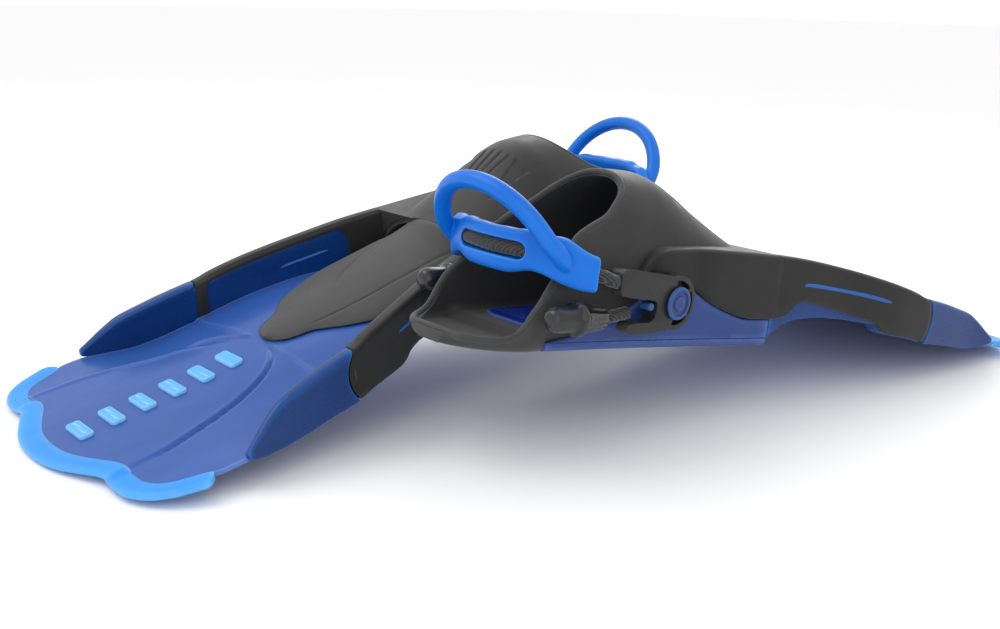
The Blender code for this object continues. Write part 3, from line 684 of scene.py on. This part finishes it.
def block_ring(x, y0, y1, z0, z1, r=3.2, sides=5, crown=0.0):
    """An upright section with rounded corners and a slightly bowed outer face."""
    r = min(r, (y1 - y0) * 0.42, (z1 - z0) * 0.42)
    q = min(r * 0.45, 1.2)
    ring = []

    def corner(cy, cz, rad, a0):
        for k in range(sides + 1):
            a = a0 + math.pi / 2 * k / sides
            ring.append((cy + rad * math.cos(a), cz + rad * math.sin(a)))

    corner(y0 + q, z0 + q, q, math.pi)
    corner(y1 - q, z0 + q, q, 1.5 * math.pi)
    for k in range(1, 8):
        t = k / 8
        ring.append((y1 + crown * math.sin(math.pi * t), z0 + q + (z1 - r - z0 - q) * t))
    corner(y1 - r, z1 - r, r, 0.0)
    corner(y0 + r, z1 - r, r, math.pi / 2)
    for k in range(1, 8):
        t = 1 - k / 8
        ring.append((y0, z0 + q + (z1 - r - z0 - q) * t))
    return [(x, y, z) for y, z in ring]


def rail_rings(grow=0.0, fine=True):
    rings = []
    xs = merged([240.4], spread(244, 384, 5), [387.6, 388.2, 388.9, 389.5, 390.5], spread(394, 440, 4), spread(442, 465.4, 2.0))
    for x in xs:
        cov = 1 - step(388.1, 389.5, x)
        out = rail_out(x) - SKIN * cov
        top = rail_top(x) - SKIN * cov
        ring = block_ring(x, rail_in(x) - grow, out + grow, rail_foot(x) - grow, top + grow)
        rings.append([(warp(px, pz), py, pz) for px, py, pz in ring])
    tip = rings[-1]
    if not grow:
        cy = sum(p[1] for p in tip) / len(tip)
        cz = sum(p[2] for p in tip) / len(tip)
        for s, dx in ((0.86, 0.35), (0.5, 0.6)):
            rings.append([(p[0] + dx, cy + (p[1] - cy) * s, cz + (p[2] - cz) * s) for p in tip])
    else:
        rings.insert(0, [(x - 1.2, y, z) for x, y, z in rings[0]])
    return rings


WINDOW_TOP = smooth((262, 41.9), (263, 43.2), (266, 44.2), (298, 41.4), (330, 37.4), (343, 34.4), (344.4, 33.6))
WINDOW_LOW = smooth((262, 41.1), (266, 40.9), (298, 38.2), (328, 34.2), (343, 32.2), (344.4, 32.8))


def rail():
    body = loft("rail_body", rail_rings(), angle=42)
    # Small moulded rib on the inner face, beside the tongue.
    rib = []
    for x in spread(286, 322, 3):
        y = rail_in(x)
        z = rail_top(x) - 17.5
        s = 0.3 + 0.7 * step(286, 291, x) * (1 - step(317, 322, x))
        rib.append([(x, y + 0.4, z - 1.3 * s), (x, y - 0.1, z - 1.1 * s), (x, y - 0.85 * s, z), (x, y - 0.1, z + 1.1 * s), (x, y + 0.4, z + 1.3 * s)])
    pad = []
    for x in spread(263.2, 343.2, 2.0):
        hi = WINDOW_TOP(x) - 0.3
        lo = WINDOW_LOW(x) + 0.3
        y0, y1 = rail_out(x) - SKIN - 1.0, rail_out(x) + 0.25
        pad.append([(x, y0, lo), (x, y1 - 0.4, lo), (x, y1, lo + 0.4), (x, y1, hi - 0.4), (x, y1 - 0.4, hi), (x, y0, hi)])
    return joined("rail", [body, loft("inner_rib", rib), loft("window_rib", pad)])


def cover():
    lower = smooth(
        (126, 44), (140, 41.2), (160, 41.0), (172, 37), (184, 30), (200, 24), (222, 19),
        (240, 19), (250, 21), (258, 28), (266, 31.5), (280, 29), (300, 25), (326, 19.5),
        (334, 17), (341, 11.4), (360, 8.6), (388, 4.8),
    )
    # Shoulder beside the foot pocket, let into the rubber wall.
    rings = []
    for x in merged([126, 127, 128.5, 131, 134, 138], spread(142, 241.5, 4)):
        shrink = 1 - step(126, 136, x)
        lo, hi = lower(x), rail_top(x) - 1.5 * shrink
        out = rail_out(x) - 1.6 * shrink
        ring = []
        for _, y, z in block_ring(x, out - 9, out, lo, hi, r=5.2):
            wall = wall_mid(min(x, 240), z, 0.0) - 1.4
            if y < out - 4.5:
                y = min(wall, out - 3.0)
            ring.append((x, y, z))
        rings.append(ring)
    shoulder = loft("shoulder", rings, angle=50)
    # Cap over the rail: outer skin, rounded top and a lip down the inner face.
    rings = []
    for x in merged([239.0, 241], spread(244, 384, 3.5), [386, 387.4, 388]):
        lo, top, out, inn = lower(x), rail_top(x), rail_out(x), rail_in(x)
        thin = SKIN - 0.3 - 1.1 * step(384, 388, x)
        edge = 0.9 * step(386.3, 388, x)
        r = 3.4
        ring = [(out - thin, lo), (out - 0.5, lo), (out, lo + 0.6)]
        ring += [(out, lo + 0.6 + (top - r - lo - 0.6) * k / 7) for k in range(1, 7)]
        ring += [(out - r + r * math.cos(a), top - r + r * math.sin(a)) for a in (math.pi / 2 * k / 6 for k in range(7))]
        ring += [(inn + r - r * math.sin(a), top - r + r * math.cos(a)) for a in (math.pi / 2 * k / 6 for k in range(7))]
        ring += [(inn, top - SKIN - 1.2), (inn + 0.25, top - SKIN - 1.6), (inn + 0.6, top - SKIN + 0.2)]
        ring += [(out - thin - 0.6, top - SKIN + 0.3), (out - thin, top - SKIN - 0.3)]
        ring += [(out - thin, top - SKIN - 0.3 - (top - SKIN - 0.3 - lo) * k / 4) for k in (1, 2, 3)]
        rings.append([(warp(x, z), y - edge * (1 if y > (out + inn) / 2 else -1) * 0.5, z) for y, z in ring])
    cap = loft("cap", rings, angle=50)
    inner = []
    for x in merged([240.6], spread(244, 384, 4), [388]):
        y = rail_in(x)
        z0, z1 = blade_base(x, y) + 0.2, rail_top(x) - 1.2
        inner.append([(warp(x, z), py, z) for py, z in ((y + 0.5, z0), (y + 0.5, z1), (y - 0.2, z1 - 0.3), (y - 0.9, z1 - 1.6), (y - 0.9, z0 + 1.0), (y - 0.9, z0))])
    gone = []
    for cx, r, a0, a1 in ((279, 9.0, 180, 90), (368, 8.0, 90, 0)):
        top_z = rail_top(cx) - 4.6 - r
        gone += [(cx + r * math.cos(math.radians(a0 + (a1 - a0) * k / 8)), top_z + r * math.sin(math.radians(a0 + (a1 - a0) * k / 8))) for k in range(9)]
        if cx == 279:
            gone += [(x, rail_top(x) - 4.6) for x in spread(286, 360, 8)]
    gone += [(378, -12), (268, -12)]
    skin = worked("inner_skin", loft("inner_block", inner), [("DIFFERENCE", plate("inner_window", gone, 40, 130))])
    return joined("rail_cover", [shoulder, cap, skin])


# ---------------------------------------------------------------- strap and buckles
def circle(cx, cz, r, n, a0=0.0, a1=2 * math.pi, closed=True):
    m = n if closed else n - 1
    return [(cx + r * math.cos(a0 + (a1 - a0) * k / m), cz + r * math.sin(a0 + (a1 - a0) * k / m)) for k in range(n)]


def buckle():
    sx, sz = STUD
    ring = circle(sx, sz, RING_R, 48, math.radians(105), math.radians(-110), closed=False)
    upper = [tuple(p)[:2] for p in resampled([(108, 34.6, 0), (99, 35.7, 0), (92.5, 37, 0), (90.7, 40, 0), (90.4, 44.5, 0), (90.6, 49.5, 0), (93.0, 51.8, 0), (103, 51.3, 0), (112, 50.4, 0), (122, 49.2, 0), (130, 48.6, 0), (135, 48.0, 0)], 1.6)]
    lower = [tuple(p)[:2] for p in resampled([(134, 15.3, 0), (128, 14.6, 0), (119, 13.9, 0), (110, 13.6, 0), (103, 14.2, 0), (100.5, 15.8, 0), (100.8, 18.6, 0), (104, 20.2, 0), (112, 20.5, 0), (119, 20.6, 0), (123, 22.4, 0), (124.4, 26, 0), (124.4, 30.5, 0), (122.6, 33, 0), (117, 34.0, 0)], 1.4)]
    outline = ring + lower + upper
    body = plate("buckle_plate", outline, BUCKLE_IN, BUCKLE_OUT)
    steps = [("DIFFERENCE", plate("buckle_eye", circle(sx, sz, STUD_R + 0.5, 40), 50, 80))]
    for a0, a1 in ((100, 40), (-40, -100)):
        void = circle(sx, sz, 13.6, 14, math.radians(a0), math.radians(a1), closed=False) + circle(sx, sz, 10.2, 14, math.radians(a1), math.radians(a0), closed=False)
        steps.append(("DIFFERENCE", plate(f"crescent_{a0}", void, 61.6, 80)))
    face = circle(sx, sz, 13.9, 20, math.radians(30), math.radians(-30), closed=False) + circle(sx, sz, 10.2, 20, math.radians(-30), math.radians(30), closed=False)
    steps.append(("DIFFERENCE", plate("recess", face, 64.6, 80)))
    # The arm is left flat: a recess here would open into the cord bore.
    steps.append(("DIFFERENCE", tube("bore", [(80, CORD_Y, 46.1), (116, CORD_Y, 40.0)], CORD_R + 0.1, 24)))
    shape = worked("buckle", body, steps, bevel=0.7, segments=3)
    return shape


def stud():
    sx, sz = STUD
    wall = half_width(sx + STUD_R) + 0.4
    profile = [(wall, STUD_R), (66.3, STUD_R), (66.5, 9.2), (66.8, 9.9), (67.5, 10.15), (68.2, 9.9), (68.55, 9.3), (68.6, 8.3), (68.45, 7.7), (67.7, 7.3), (67.6, 5.0), (67.75, 4.5), (68.4, 4.2), (68.5, 3.6), (68.5, 1.2)]
    mesh = turned("stud", profile, 48)
    mesh.transform(Matrix.Translation((sx * MM, 0, sz * MM)) @ Matrix.Rotation(math.radians(90), 4, "Z"))
    return mesh


def toggle():
    sides = 72
    stations = [(45.0, 2.6), (45.2, 4.0), (46.0, 5.3), (47.2, 6.3), (49, 7.1), (52, 7.5), (58, 7.6), (62.4, 7.6), (63.4, 8.0), (64.3, 9.4), (65.0, 10.1), (66.4, 10.3), (67.8, 10.1), (68.4, 9.7), (68.9, 9.3), (69.4, 9.2), (73, 8.75), (78, 8.1), (83, 7.4), (86.6, 6.95), (87.4, 6.6), (87.7, 5.8)]
    rings = []
    for x, r in stations:
        ring = []
        for k in range(sides):
            a = 2 * math.pi * k / sides
            deep = 0.75 * step(68.9, 70.4, x) * (0.5 - 0.5 * math.cos(12 * a)) ** 0.7
            ring.append((x, TOGGLE[0] + (r - deep) * math.cos(a), TOGGLE[1] + (r - deep) * math.sin(a)))
        rings.append(ring)
    return loft("toggle", rings, angle=50)


def braided(name, points, radius, gap=0.8, sides=32):
    """Bungee with the twisted ribs of its woven sleeve."""
    line = resampled(points, gap)
    rings, up, run = [], None, 0.0
    n = len(line)
    for i, p in enumerate(line):
        t = (line[min(i + 1, n - 1)] - line[max(i - 1, 0)]).normalized()
        if i:
            run += (p - line[i - 1]).length
        if up is None:
            up = t.orthogonal().normalized()
        up = (up - t * up.dot(t)).normalized()
        side = t.cross(up)
        ring = []
        for k in range(sides):
            a = 2 * math.pi * k / sides
            twill = 0.5 + 0.5 * math.cos(8 * a + run * 1.15)
            r = radius - 0.34 * (1 - twill)
            ring.append(tuple(p + (up * math.cos(a) + side * math.sin(a)) * r))
        rings.append(ring)
    return loft(name, rings, angle=70)


def tail_cord():
    return braided("tail_cord", [(88.1, TOGGLE[0], TOGGLE[1]), (91, TOGGLE[0], TOGGLE[1]), (97, 58.7, 24.0), (105, 60.6, 26.0)], 3.8)


def cord_post():
    mesh = turned("cord_post", [(57.6, 1.8), (57.9, 2.2), (58.4, 2.4), (64.8, 2.4), (65.3, 2.2), (65.6, 1.8)], 24)
    mesh.transform(Matrix.Translation((120.2 * MM, 0, 29.6 * MM)) @ Matrix.Rotation(math.radians(90), 4, "Z"))
    return mesh


def strap_line(t):
    y = 61.6 * math.sin(t)
    x = 90.5 - 41.5 * math.cos(t)
    z = 54.5 + 1.0 * math.sin(2 * abs(t)) - 9.0 * math.sin(abs(t)) ** 4
    return Vector((x, y, z))


def strap_points(t0, n):
    return [strap_line(-t0 + 2 * t0 * k / (n - 1)) for k in range(n)]


def heel_cord():
    side = [(113.5, 40.4), (88.5, 44.7)]
    pts = [(x, -CORD_Y, z) for x, z in side]
    pts += [tuple(p) for p in strap_points(math.radians(80), 33)]
    pts += [(x, CORD_Y, z) for x, z in side[::-1]]
    return braided("heel_cord", pts, CORD_R)


def pad_section(t, sides=28):
    """Section of the heel pad: waisted under the cord slot, with raised lips."""
    p = strap_line(t)
    out = Vector((-math.cos(t) / 41.5, math.sin(t) / 61.6, 0)).normalized()
    s = abs(math.sin(t))
    low = 41.0 + 3.6 * step(0.22, 0.5, s) - 7.0 * step(0.5, 0.92, s)
    high = 68.0 - 3.0 * step(0.1, 0.5, s) + 1.5 * step(0.5, 0.7, s) - 9.0 * step(0.7, 0.98, s)
    horn = 2.2 * math.exp(-((s - 0.42) / 0.11) ** 2) - 1.6 * math.exp(-(s / 0.22) ** 2)
    high += horn
    t2 = (PAD_T - 1.2 * s) / 2
    mid, h = (low + high) / 2, (high - low) / 2
    ring = []
    for k in range(sides):
        a = 2 * math.pi * (k + 0.5) / sides
        ca, sa = math.cos(a), math.sin(a)
        u = math.copysign(abs(ca) ** 0.5, ca)
        v = math.copysign(abs(sa) ** 0.5, sa)
        q = p + out * (t2 * u)
        ring.append((q.x, q.y, mid + h * v))
    return ring


def heel_pad():
    t0 = math.radians(71)
    pad = loft("pad_body", [pad_section(-t0 + 2 * t0 * k / 72) for k in range(73)])
    loop_pts = []
    for k in range(61):
        a = math.radians(-96 + 192 * k / 60)
        c = math.cos(a)
        c = math.copysign(abs(c) ** 0.9, c)
        foot = step(math.radians(66), math.radians(96), abs(a))
        loop_pts.append((60.5 - 31.5 * c + 2.6 * foot, 49.0 * math.sin(a), 45.5 + 45.5 * c + 5.0 * foot))
    loop = tube("pull_loop", loop_pts, lambda u: LOOP_R * (1 - 0.5 * step(0.88, 1.0, 2 * abs(u - 0.5))), 24)
    channel = tube("pad_channel", [(96, -CORD_Y, 43.4)] + [tuple(p) for p in strap_points(math.radians(80), 33)] + [(96, CORD_Y, 43.4)], CORD_R + 0.5, 16)
    back = []
    for k in range(12):
        a = -math.pi / 2 + math.pi * k / 11
        back.append((22.8 + 4.9 * math.cos(a), 54.9 + 4.9 * math.sin(a)))
    back += [(-y, z) for y, z in back[::-1]]
    slot = loft("pad_slot", [[(x, y, z) for y, z in back] for x in (30, 52)])
    return worked("heel_pad", pad, [("UNION", loop), ("DIFFERENCE", channel), ("DIFFERENCE", slot)], remesh=0.62, angle=60)


# ---------------------------------------------------------------- materials
class Mat:
    """Small helper to wire a procedural material."""

    def __init__(self, name):
        self.mat = bpy.data.materials.new(name)
        self.mat.use_nodes = True
        self.nodes, self.links = self.mat.node_tree.nodes, self.mat.node_tree.links
        self.shader = self.nodes["Principled BSDF"]
        self.coords = self.nodes.new("ShaderNodeTexCoord").outputs["Object"]
        self.height = None

    def noise(self, scale, detail=3.0, rough=0.55, stretch=None):
        node = self.nodes.new("ShaderNodeTexNoise")
        node.inputs["Scale"].default_value = scale
        node.inputs["Detail"].default_value = detail
        node.inputs["Roughness"].default_value = rough
        source = self.coords
        if stretch:
            mapping = self.nodes.new("ShaderNodeMapping")
            mapping.inputs["Scale"].default_value = stretch
            self.links.new(self.coords, mapping.inputs["Vector"])
            source = mapping.outputs["Vector"]
        self.links.new(source, node.inputs["Vector"])
        return node.outputs["Fac"]

    def cells(self, scale):
        node = self.nodes.new("ShaderNodeTexVoronoi")
        node.inputs["Scale"].default_value = scale
        self.links.new(self.coords, node.inputs["Vector"])
        return node.outputs["Distance"]

    def ramp(self, value, *stops):
        node = self.nodes.new("ShaderNodeValToRGB")
        while len(node.color_ramp.elements) < len(stops):
            node.color_ramp.elements.new(0.5)
        for element, (at, colour) in zip(node.color_ramp.elements, stops):
            element.position = at
            element.color = (*colour, 1) if len(colour) == 3 else colour
        self.links.new(value, node.inputs["Fac"])
        return node.outputs["Color"]

    def span(self, value, lo, hi, a=0.0, b=1.0):
        node = self.nodes.new("ShaderNodeMapRange")
        node.inputs["From Min"].default_value = lo
        node.inputs["From Max"].default_value = hi
        node.inputs["To Min"].default_value = a
        node.inputs["To Max"].default_value = b
        self.links.new(value, node.inputs["Value"])
        return node.outputs["Result"]

    def mix(self, factor, a, b, mode="MIX"):
        node = self.nodes.new("ShaderNodeMix")
        node.data_type, node.blend_type = "RGBA", mode
        for value, socket in ((factor, node.inputs[0]), (a, node.inputs[6]), (b, node.inputs[7])):
            if isinstance(value, (int, float)):
                socket.default_value = value
            elif isinstance(value, tuple):
                socket.default_value = (*value, 1)
            else:
                self.links.new(value, socket)
        return node.outputs[2]

    def axis(self, name):
        node = self.nodes.new("ShaderNodeSeparateXYZ")
        self.links.new(self.coords, node.inputs["Vector"])
        return node.outputs[name]

    def edge_highlight(self):
        """How convex the surface is: the mask for a painted highlight along convex edges."""
        geo = self.nodes.new("ShaderNodeNewGeometry")
        return self.span(geo.outputs["Pointiness"], 0.505, 0.56)

    def bump(self, value, strength, distance):
        node = self.nodes.new("ShaderNodeBump")
        node.inputs["Strength"].default_value = strength
        node.inputs["Distance"].default_value = distance
        self.links.new(value, node.inputs["Height"])
        if self.height is not None:
            self.links.new(self.height, node.inputs["Normal"])
        self.height = node.outputs["Normal"]

    def done(self, colour, rough, **sockets):
        self.links.new(colour, self.shader.inputs["Base Color"])
        self.links.new(rough, self.shader.inputs["Roughness"])
        if self.height is not None:
            self.links.new(self.height, self.shader.inputs["Normal"])
        for name, value in sockets.items():
            self.shader.inputs[name.replace("_", " ")].default_value = value
        return self.mat


def plastic(name, dark, base, light, rough=(0.26, 0.4), coat=0.25, grain=1.0, highlight_colour=(0.2, 0.35, 0.7), streak=True):
    """Injection-moulded thermoplastic: flow clouds, fine grain, a painted highlight on convex edges, hairline scuffs.
    """
    m = Mat(name)
    flow = m.noise(14, 4, 0.6, (0.35, 1.0, 1.0))
    colour = m.ramp(flow, (0.3, dark), (0.52, base), (0.78, light))
    speck = m.span(m.noise(900, 2), 0.62, 0.75, 0.0, 0.16)
    colour = m.mix(speck, colour, light)
    # Painted highlight: convex edges are mixed towards the lighter edge colour.
    colour = m.mix(m.span(m.edge_highlight(), 0, 1, 0.0, 0.35), colour, highlight_colour)
    scuff = m.noise(90, 5, 0.7, (0.3, 1.0, 1.0))
    tone = m.span(scuff, 0.3, 0.75, rough[0], rough[1])
    m.bump(m.noise(1500, 2), 0.07 * grain, 0.0002)
    m.bump(m.noise(60, 3), 0.05, 0.0008)
    if streak:
        m.bump(m.span(scuff, 0.66, 0.74), 0.012, 0.0001)
    return m.done(colour, tone, Coat_Weight=coat * 0.3, Coat_Roughness=0.16, IOR=1.46, Specular_IOR_Level=0.26)


def rubber(name, dark, base, light, rough=(0.42, 0.58), grain=1.0, sheen=0.15):
    """Matt moulded rubber: fine pebbled texture, dusty tone shifts, a painted highlight that greys the convex edges.
    """
    m = Mat(name)
    dust = m.noise(18, 5, 0.62)
    colour = m.ramp(dust, (0.3, dark), (0.5, base), (0.75, light))
    colour = m.mix(m.span(m.noise(1100, 2), 0.6, 0.78, 0, 0.3), colour, light)
    # Painted highlight: convex edges are mixed towards a colour 2.2 times the light tone.
    colour = m.mix(m.span(m.edge_highlight(), 0, 1, 0.0, 0.45), colour, tuple(min(c * 2.2, 1) for c in light))
    tone = m.span(m.noise(45, 5, 0.7), 0.35, 0.68, rough[0], rough[1])
    m.bump(m.cells(1500), 0.1 * grain, 0.00015)
    m.bump(m.noise(90, 4, 0.6), 0.06, 0.0006)
    return m.done(colour, tone, Sheen_Weight=sheen, Sheen_Roughness=0.5, IOR=1.46, Specular_IOR_Level=0.24)


# The edge colour given to each plastic below is a painted highlight laid on its convex edges.
MATS = {
    "blade": plastic("blade_plastic", (0.020, 0.078, 0.30), (0.026, 0.090, 0.345), (0.036, 0.108, 0.39), (0.3, 0.42), 0.3, highlight_colour=(0.22, 0.36, 0.78)),
    "rail": plastic("rail_plastic", (0.0008, 0.022, 0.115), (0.0015, 0.030, 0.150), (0.003, 0.040, 0.19), (0.22, 0.36), 0.4, highlight_colour=(0.03, 0.22, 0.75)),
    "sole": plastic("sole_plastic", (0.016, 0.042, 0.16), (0.020, 0.052, 0.195), (0.028, 0.066, 0.24), (0.34, 0.48), 0.15, highlight_colour=(0.12, 0.22, 0.6)),
    "pocket": rubber("pocket_rubber_skin", (0.022, 0.022, 0.022), (0.028, 0.028, 0.0275), (0.036, 0.036, 0.035)),
    "tongue": rubber("tongue_rubber_skin", (0.036, 0.036, 0.036), (0.044, 0.044, 0.0435), (0.055, 0.055, 0.054), (0.48, 0.62)),
    "cover": rubber("overmould_skin", (0.0045, 0.0045, 0.0046), (0.007, 0.007, 0.007), (0.011, 0.011, 0.011), (0.36, 0.52)),
    "trim": plastic("trim_elastomer", (0.008, 0.22, 0.68), (0.014, 0.26, 0.75), (0.03, 0.31, 0.82), (0.34, 0.48), 0.12, highlight_colour=(0.32, 0.68, 1.0)),
    "bar": plastic("bar_elastomer", (0.075, 0.36, 0.80), (0.095, 0.40, 0.86), (0.13, 0.45, 0.92), (0.34, 0.46), 0.12, highlight_colour=(0.5, 0.82, 1.0)),
    "pad": plastic("azure_elastomer", (0.0002, 0.115, 0.55), (0.0004, 0.145, 0.64), (0.0015, 0.18, 0.73), (0.3, 0.44), 0.2, highlight_colour=(0.15, 0.6, 1.0), streak=False),
    "bed": plastic("footbed_foam", (0.002, 0.014, 0.18), (0.004, 0.022, 0.26), (0.008, 0.04, 0.36), (0.4, 0.55), 0.0),
    "buckle": plastic("buckle_nylon", (0.009, 0.009, 0.0095), (0.013, 0.013, 0.0135), (0.02, 0.02, 0.0205), (0.3, 0.46), 0.12, grain=1.6, highlight_colour=(0.1, 0.1, 0.1)),
    "toggle": plastic("toggle_nylon", (0.007, 0.007, 0.0075), (0.010, 0.010, 0.0105), (0.016, 0.016, 0.0165), (0.14, 0.26), 1.4, highlight_colour=(0.08, 0.08, 0.08)),
    "stud": plastic("stud_plastic", (0.008, 0.028, 0.12), (0.012, 0.038, 0.16), (0.02, 0.055, 0.21), (0.28, 0.4), 0.25, highlight_colour=(0.08, 0.2, 0.5)),
}


def woven():
    m = Mat("bungee_sleeve")
    wave = m.nodes.new("ShaderNodeTexWave")
    wave.wave_type, wave.bands_direction = "BANDS", "DIAGONAL"
    wave.inputs["Scale"].default_value = 260
    wave.inputs["Distortion"].default_value = 1.5
    m.links.new(m.coords, wave.inputs["Vector"])
    thread = wave.outputs["Fac"]
    colour = m.ramp(thread, (0.2, (0.006, 0.006, 0.007)), (0.7, (0.022, 0.023, 0.024)), (1.0, (0.05, 0.052, 0.054)))
    colour = m.mix(m.span(m.noise(700, 3), 0.6, 0.75, 0, 0.4), colour, (0.07, 0.07, 0.07))
    tone = m.span(m.noise(300, 3), 0.3, 0.7, 0.68, 0.88)
    m.bump(thread, 0.3, 0.0003)
    m.bump(m.noise(2500, 2), 0.15, 0.0001)
    return m.done(colour, tone, Sheen_Weight=0.4, Sheen_Roughness=0.4)


MATS["cord"] = woven()

# ---------------------------------------------------------------- pieces
SHAPES = {}


def add(name, mesh, look, body, slot, nodes=None):
    SHAPES[name] = (mesh, look, body, slot, nodes or [name])


add("foot_pocket", pocket(), "pocket", "", "pocket_rubber")
add("outsole", chassis(), "sole", "", "outsole_blue")
add("footbed", footbed(), "bed", "", "footbed_blue")
add("tongue", tongue(), "tongue", "", "pocket_rubber")
add("blade", blade(), "blade", "", "blade_blue")
add("blade_bars", bars(), "bar", "", "sky_blue_trim")
add("tip_trim", trim(), "trim", "", "sky_blue_trim")
add("heel_cord", heel_cord(), "cord", "_strap", "bungee_cord")
add("heel_pad", heel_pad(), "pad", "_strap", "azure_rubber")
for base, mesh, look, body, slot in (
    ("rail", rail(), "rail", "", "rail_blue"),
    ("rail_cover", cover(), "cover", "", "overmould_rubber"),
    ("stud", stud(), "stud", "", "stud_blue"),
    ("buckle", buckle(), "buckle", "_buckles", "buckle_black"),
    ("cord_post", cord_post(), "stud", "_buckles", "stud_blue"),
    ("tail_cord", tail_cord(), "cord", "_tails", "bungee_cord"),
    ("toggle", toggle(), "toggle", "_tails", "toggle_black"),
):
    add(base + "_left", mesh, look, body, slot)
    add(base + "_right", mirrored(mesh, base + "_right"), look, body, slot)

# The trim's lowest point in the CAD stands on the ground.
low_trim = 1e9


def cad_trim_low():
    """Height of the heel origin over the ground, as part.py works it out."""
    pts = [(tail_edge(y), y) for y in (0, 14, 28, 40, 50, 57, 64, 72, 82, 90, 96, 100.5, 103)]
    pts += [(499.5, 104.4), (492, 107.6), (484.5, 111)]
    full = []
    for i, (x, y) in enumerate(pts):
        ax, ay = pts[max(i - 1, 0)]
        bx, by = pts[min(i + 1, len(pts) - 1)]
        tx, ty = (0.0, 1.0) if i == 0 else (bx - ax, by - ay)
        n = math.hypot(tx, ty)
        full.append((x, y, ty / n))
    low = 1e9
    for i, (x, y, nx) in enumerate(full):
        end = len(full) - 1 - i
        width = TRIM_W * (1.0 if end > 1 else (0.72, 0.93)[end])
        z = blade_base(x, y) - 1.5
        for off, dz in ((0.0, -2.4), (0.35, -3.0), (0.85, -2.2), (1.0, 0)):
            px, pz = x + nx * (GAP + off * width), z + dz
            low = min(low, -math.sin(NOSE_DOWN) * px + math.cos(NOSE_DOWN) * pz)
    return low


FIN_UP = -cad_trim_low() * MM
print("fin_up_mm", round(FIN_UP / MM, 3))

for fin, turn in (("fin_a", math.pi), ("fin_b", 0.0)):
    place = Matrix.Rotation(turn, 4, "Z") @ Matrix.Translation((FIN_BACK, FIN_SIDE, FIN_UP)) @ Matrix.Rotation(NOSE_DOWN, 4, "Y")
    for shape, (mesh, look, body, slot, nodes) in SHAPES.items():
        data = mesh.copy()
        data.materials.clear()
        data.materials.append(MATS[look])
        obj = bpy.data.objects.new(f"{fin}_{shape}_skin", data)
        bpy.context.scene.collection.objects.link(obj)
        obj.matrix_world = place
        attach(obj, fin + body)
        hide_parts(*[f"{fin}_{node}" for node in nodes])

# ---------------------------------------------------------------- studio
world = bpy.data.worlds.new("studio")
bpy.context.scene.world = world
world.use_nodes = True
world.node_tree.nodes["Background"].inputs["Color"].default_value = (1.0, 1.0, 1.0, 1)
world.node_tree.nodes["Background"].inputs["Strength"].default_value = 1.0

floor_mesh = bpy.data.meshes.new("floor")
bm = bmesh.new()
bmesh.ops.create_grid(bm, x_segments=8, y_segments=8, size=14.0)
bm.to_mesh(floor_mesh)
bm.free()
floor = bpy.data.objects.new("floor", floor_mesh)
floor.location = (0, 0, -0.0006)
bpy.context.scene.collection.objects.link(floor)
floor_look = Mat("studio_floor")
floor_mesh.materials.append(floor_look.done(floor_look.ramp(floor_look.noise(2), (0.3, (0.955, 0.955, 0.96)), (0.7, (0.965, 0.965, 0.97))), floor_look.span(floor_look.noise(5), 0.3, 0.7, 0.75, 0.85)))


def lamp(name, place, aim, size, power, tint=(1, 1, 1)):
    data = bpy.data.lights.new(name, "AREA")
    data.shape, data.size, data.energy, data.color = "SQUARE", size, power, tint
    obj = bpy.data.objects.new(name, data)
    bpy.context.scene.collection.objects.link(obj)
    obj.location = place
    obj.rotation_mode = "QUATERNION"
    obj.rotation_quaternion = (Vector(aim) - Vector(place)).to_track_quat("-Z", "Y")


lamp("key", (-0.9, 0.7, 1.5), (0, 0, 0.05), 1.2, 9)
lamp("fill", (-1.3, -1.2, 0.9), (0, 0, 0.05), 1.4, 4)
lamp("rim", (1.2, 0.8, 0.9), (0, 0, 0.05), 0.9, 6)

# ---------------------------------------------------------------- camera
forward = Vector((0.6433, 0.7144, -0.2751)).normalized()
right = Vector((0.7431, -0.6691, 0)).normalized()
up = right.cross(forward)
roll = math.radians(1.34)
cam_right = math.cos(roll) * right + math.sin(roll) * up
cam_up = -math.sin(roll) * right + math.cos(roll) * up
cam_data = bpy.data.cameras.new("photo_camera")
cam_data.lens, cam_data.sensor_width = 40.33, 36
cam_data.clip_start, cam_data.clip_end = 0.02, 60
cam = bpy.data.objects.new("photo_camera", cam_data)
bpy.context.scene.collection.objects.link(cam)
turned_by = Matrix((cam_right, cam_up, -forward)).transposed().to_4x4()
cam.matrix_world = Matrix.Translation((-0.5520, -0.5507, 0.2651)) @ turned_by
bpy.context.scene.camera = cam
bpy.context.scene.view_settings.view_transform = "Standard"
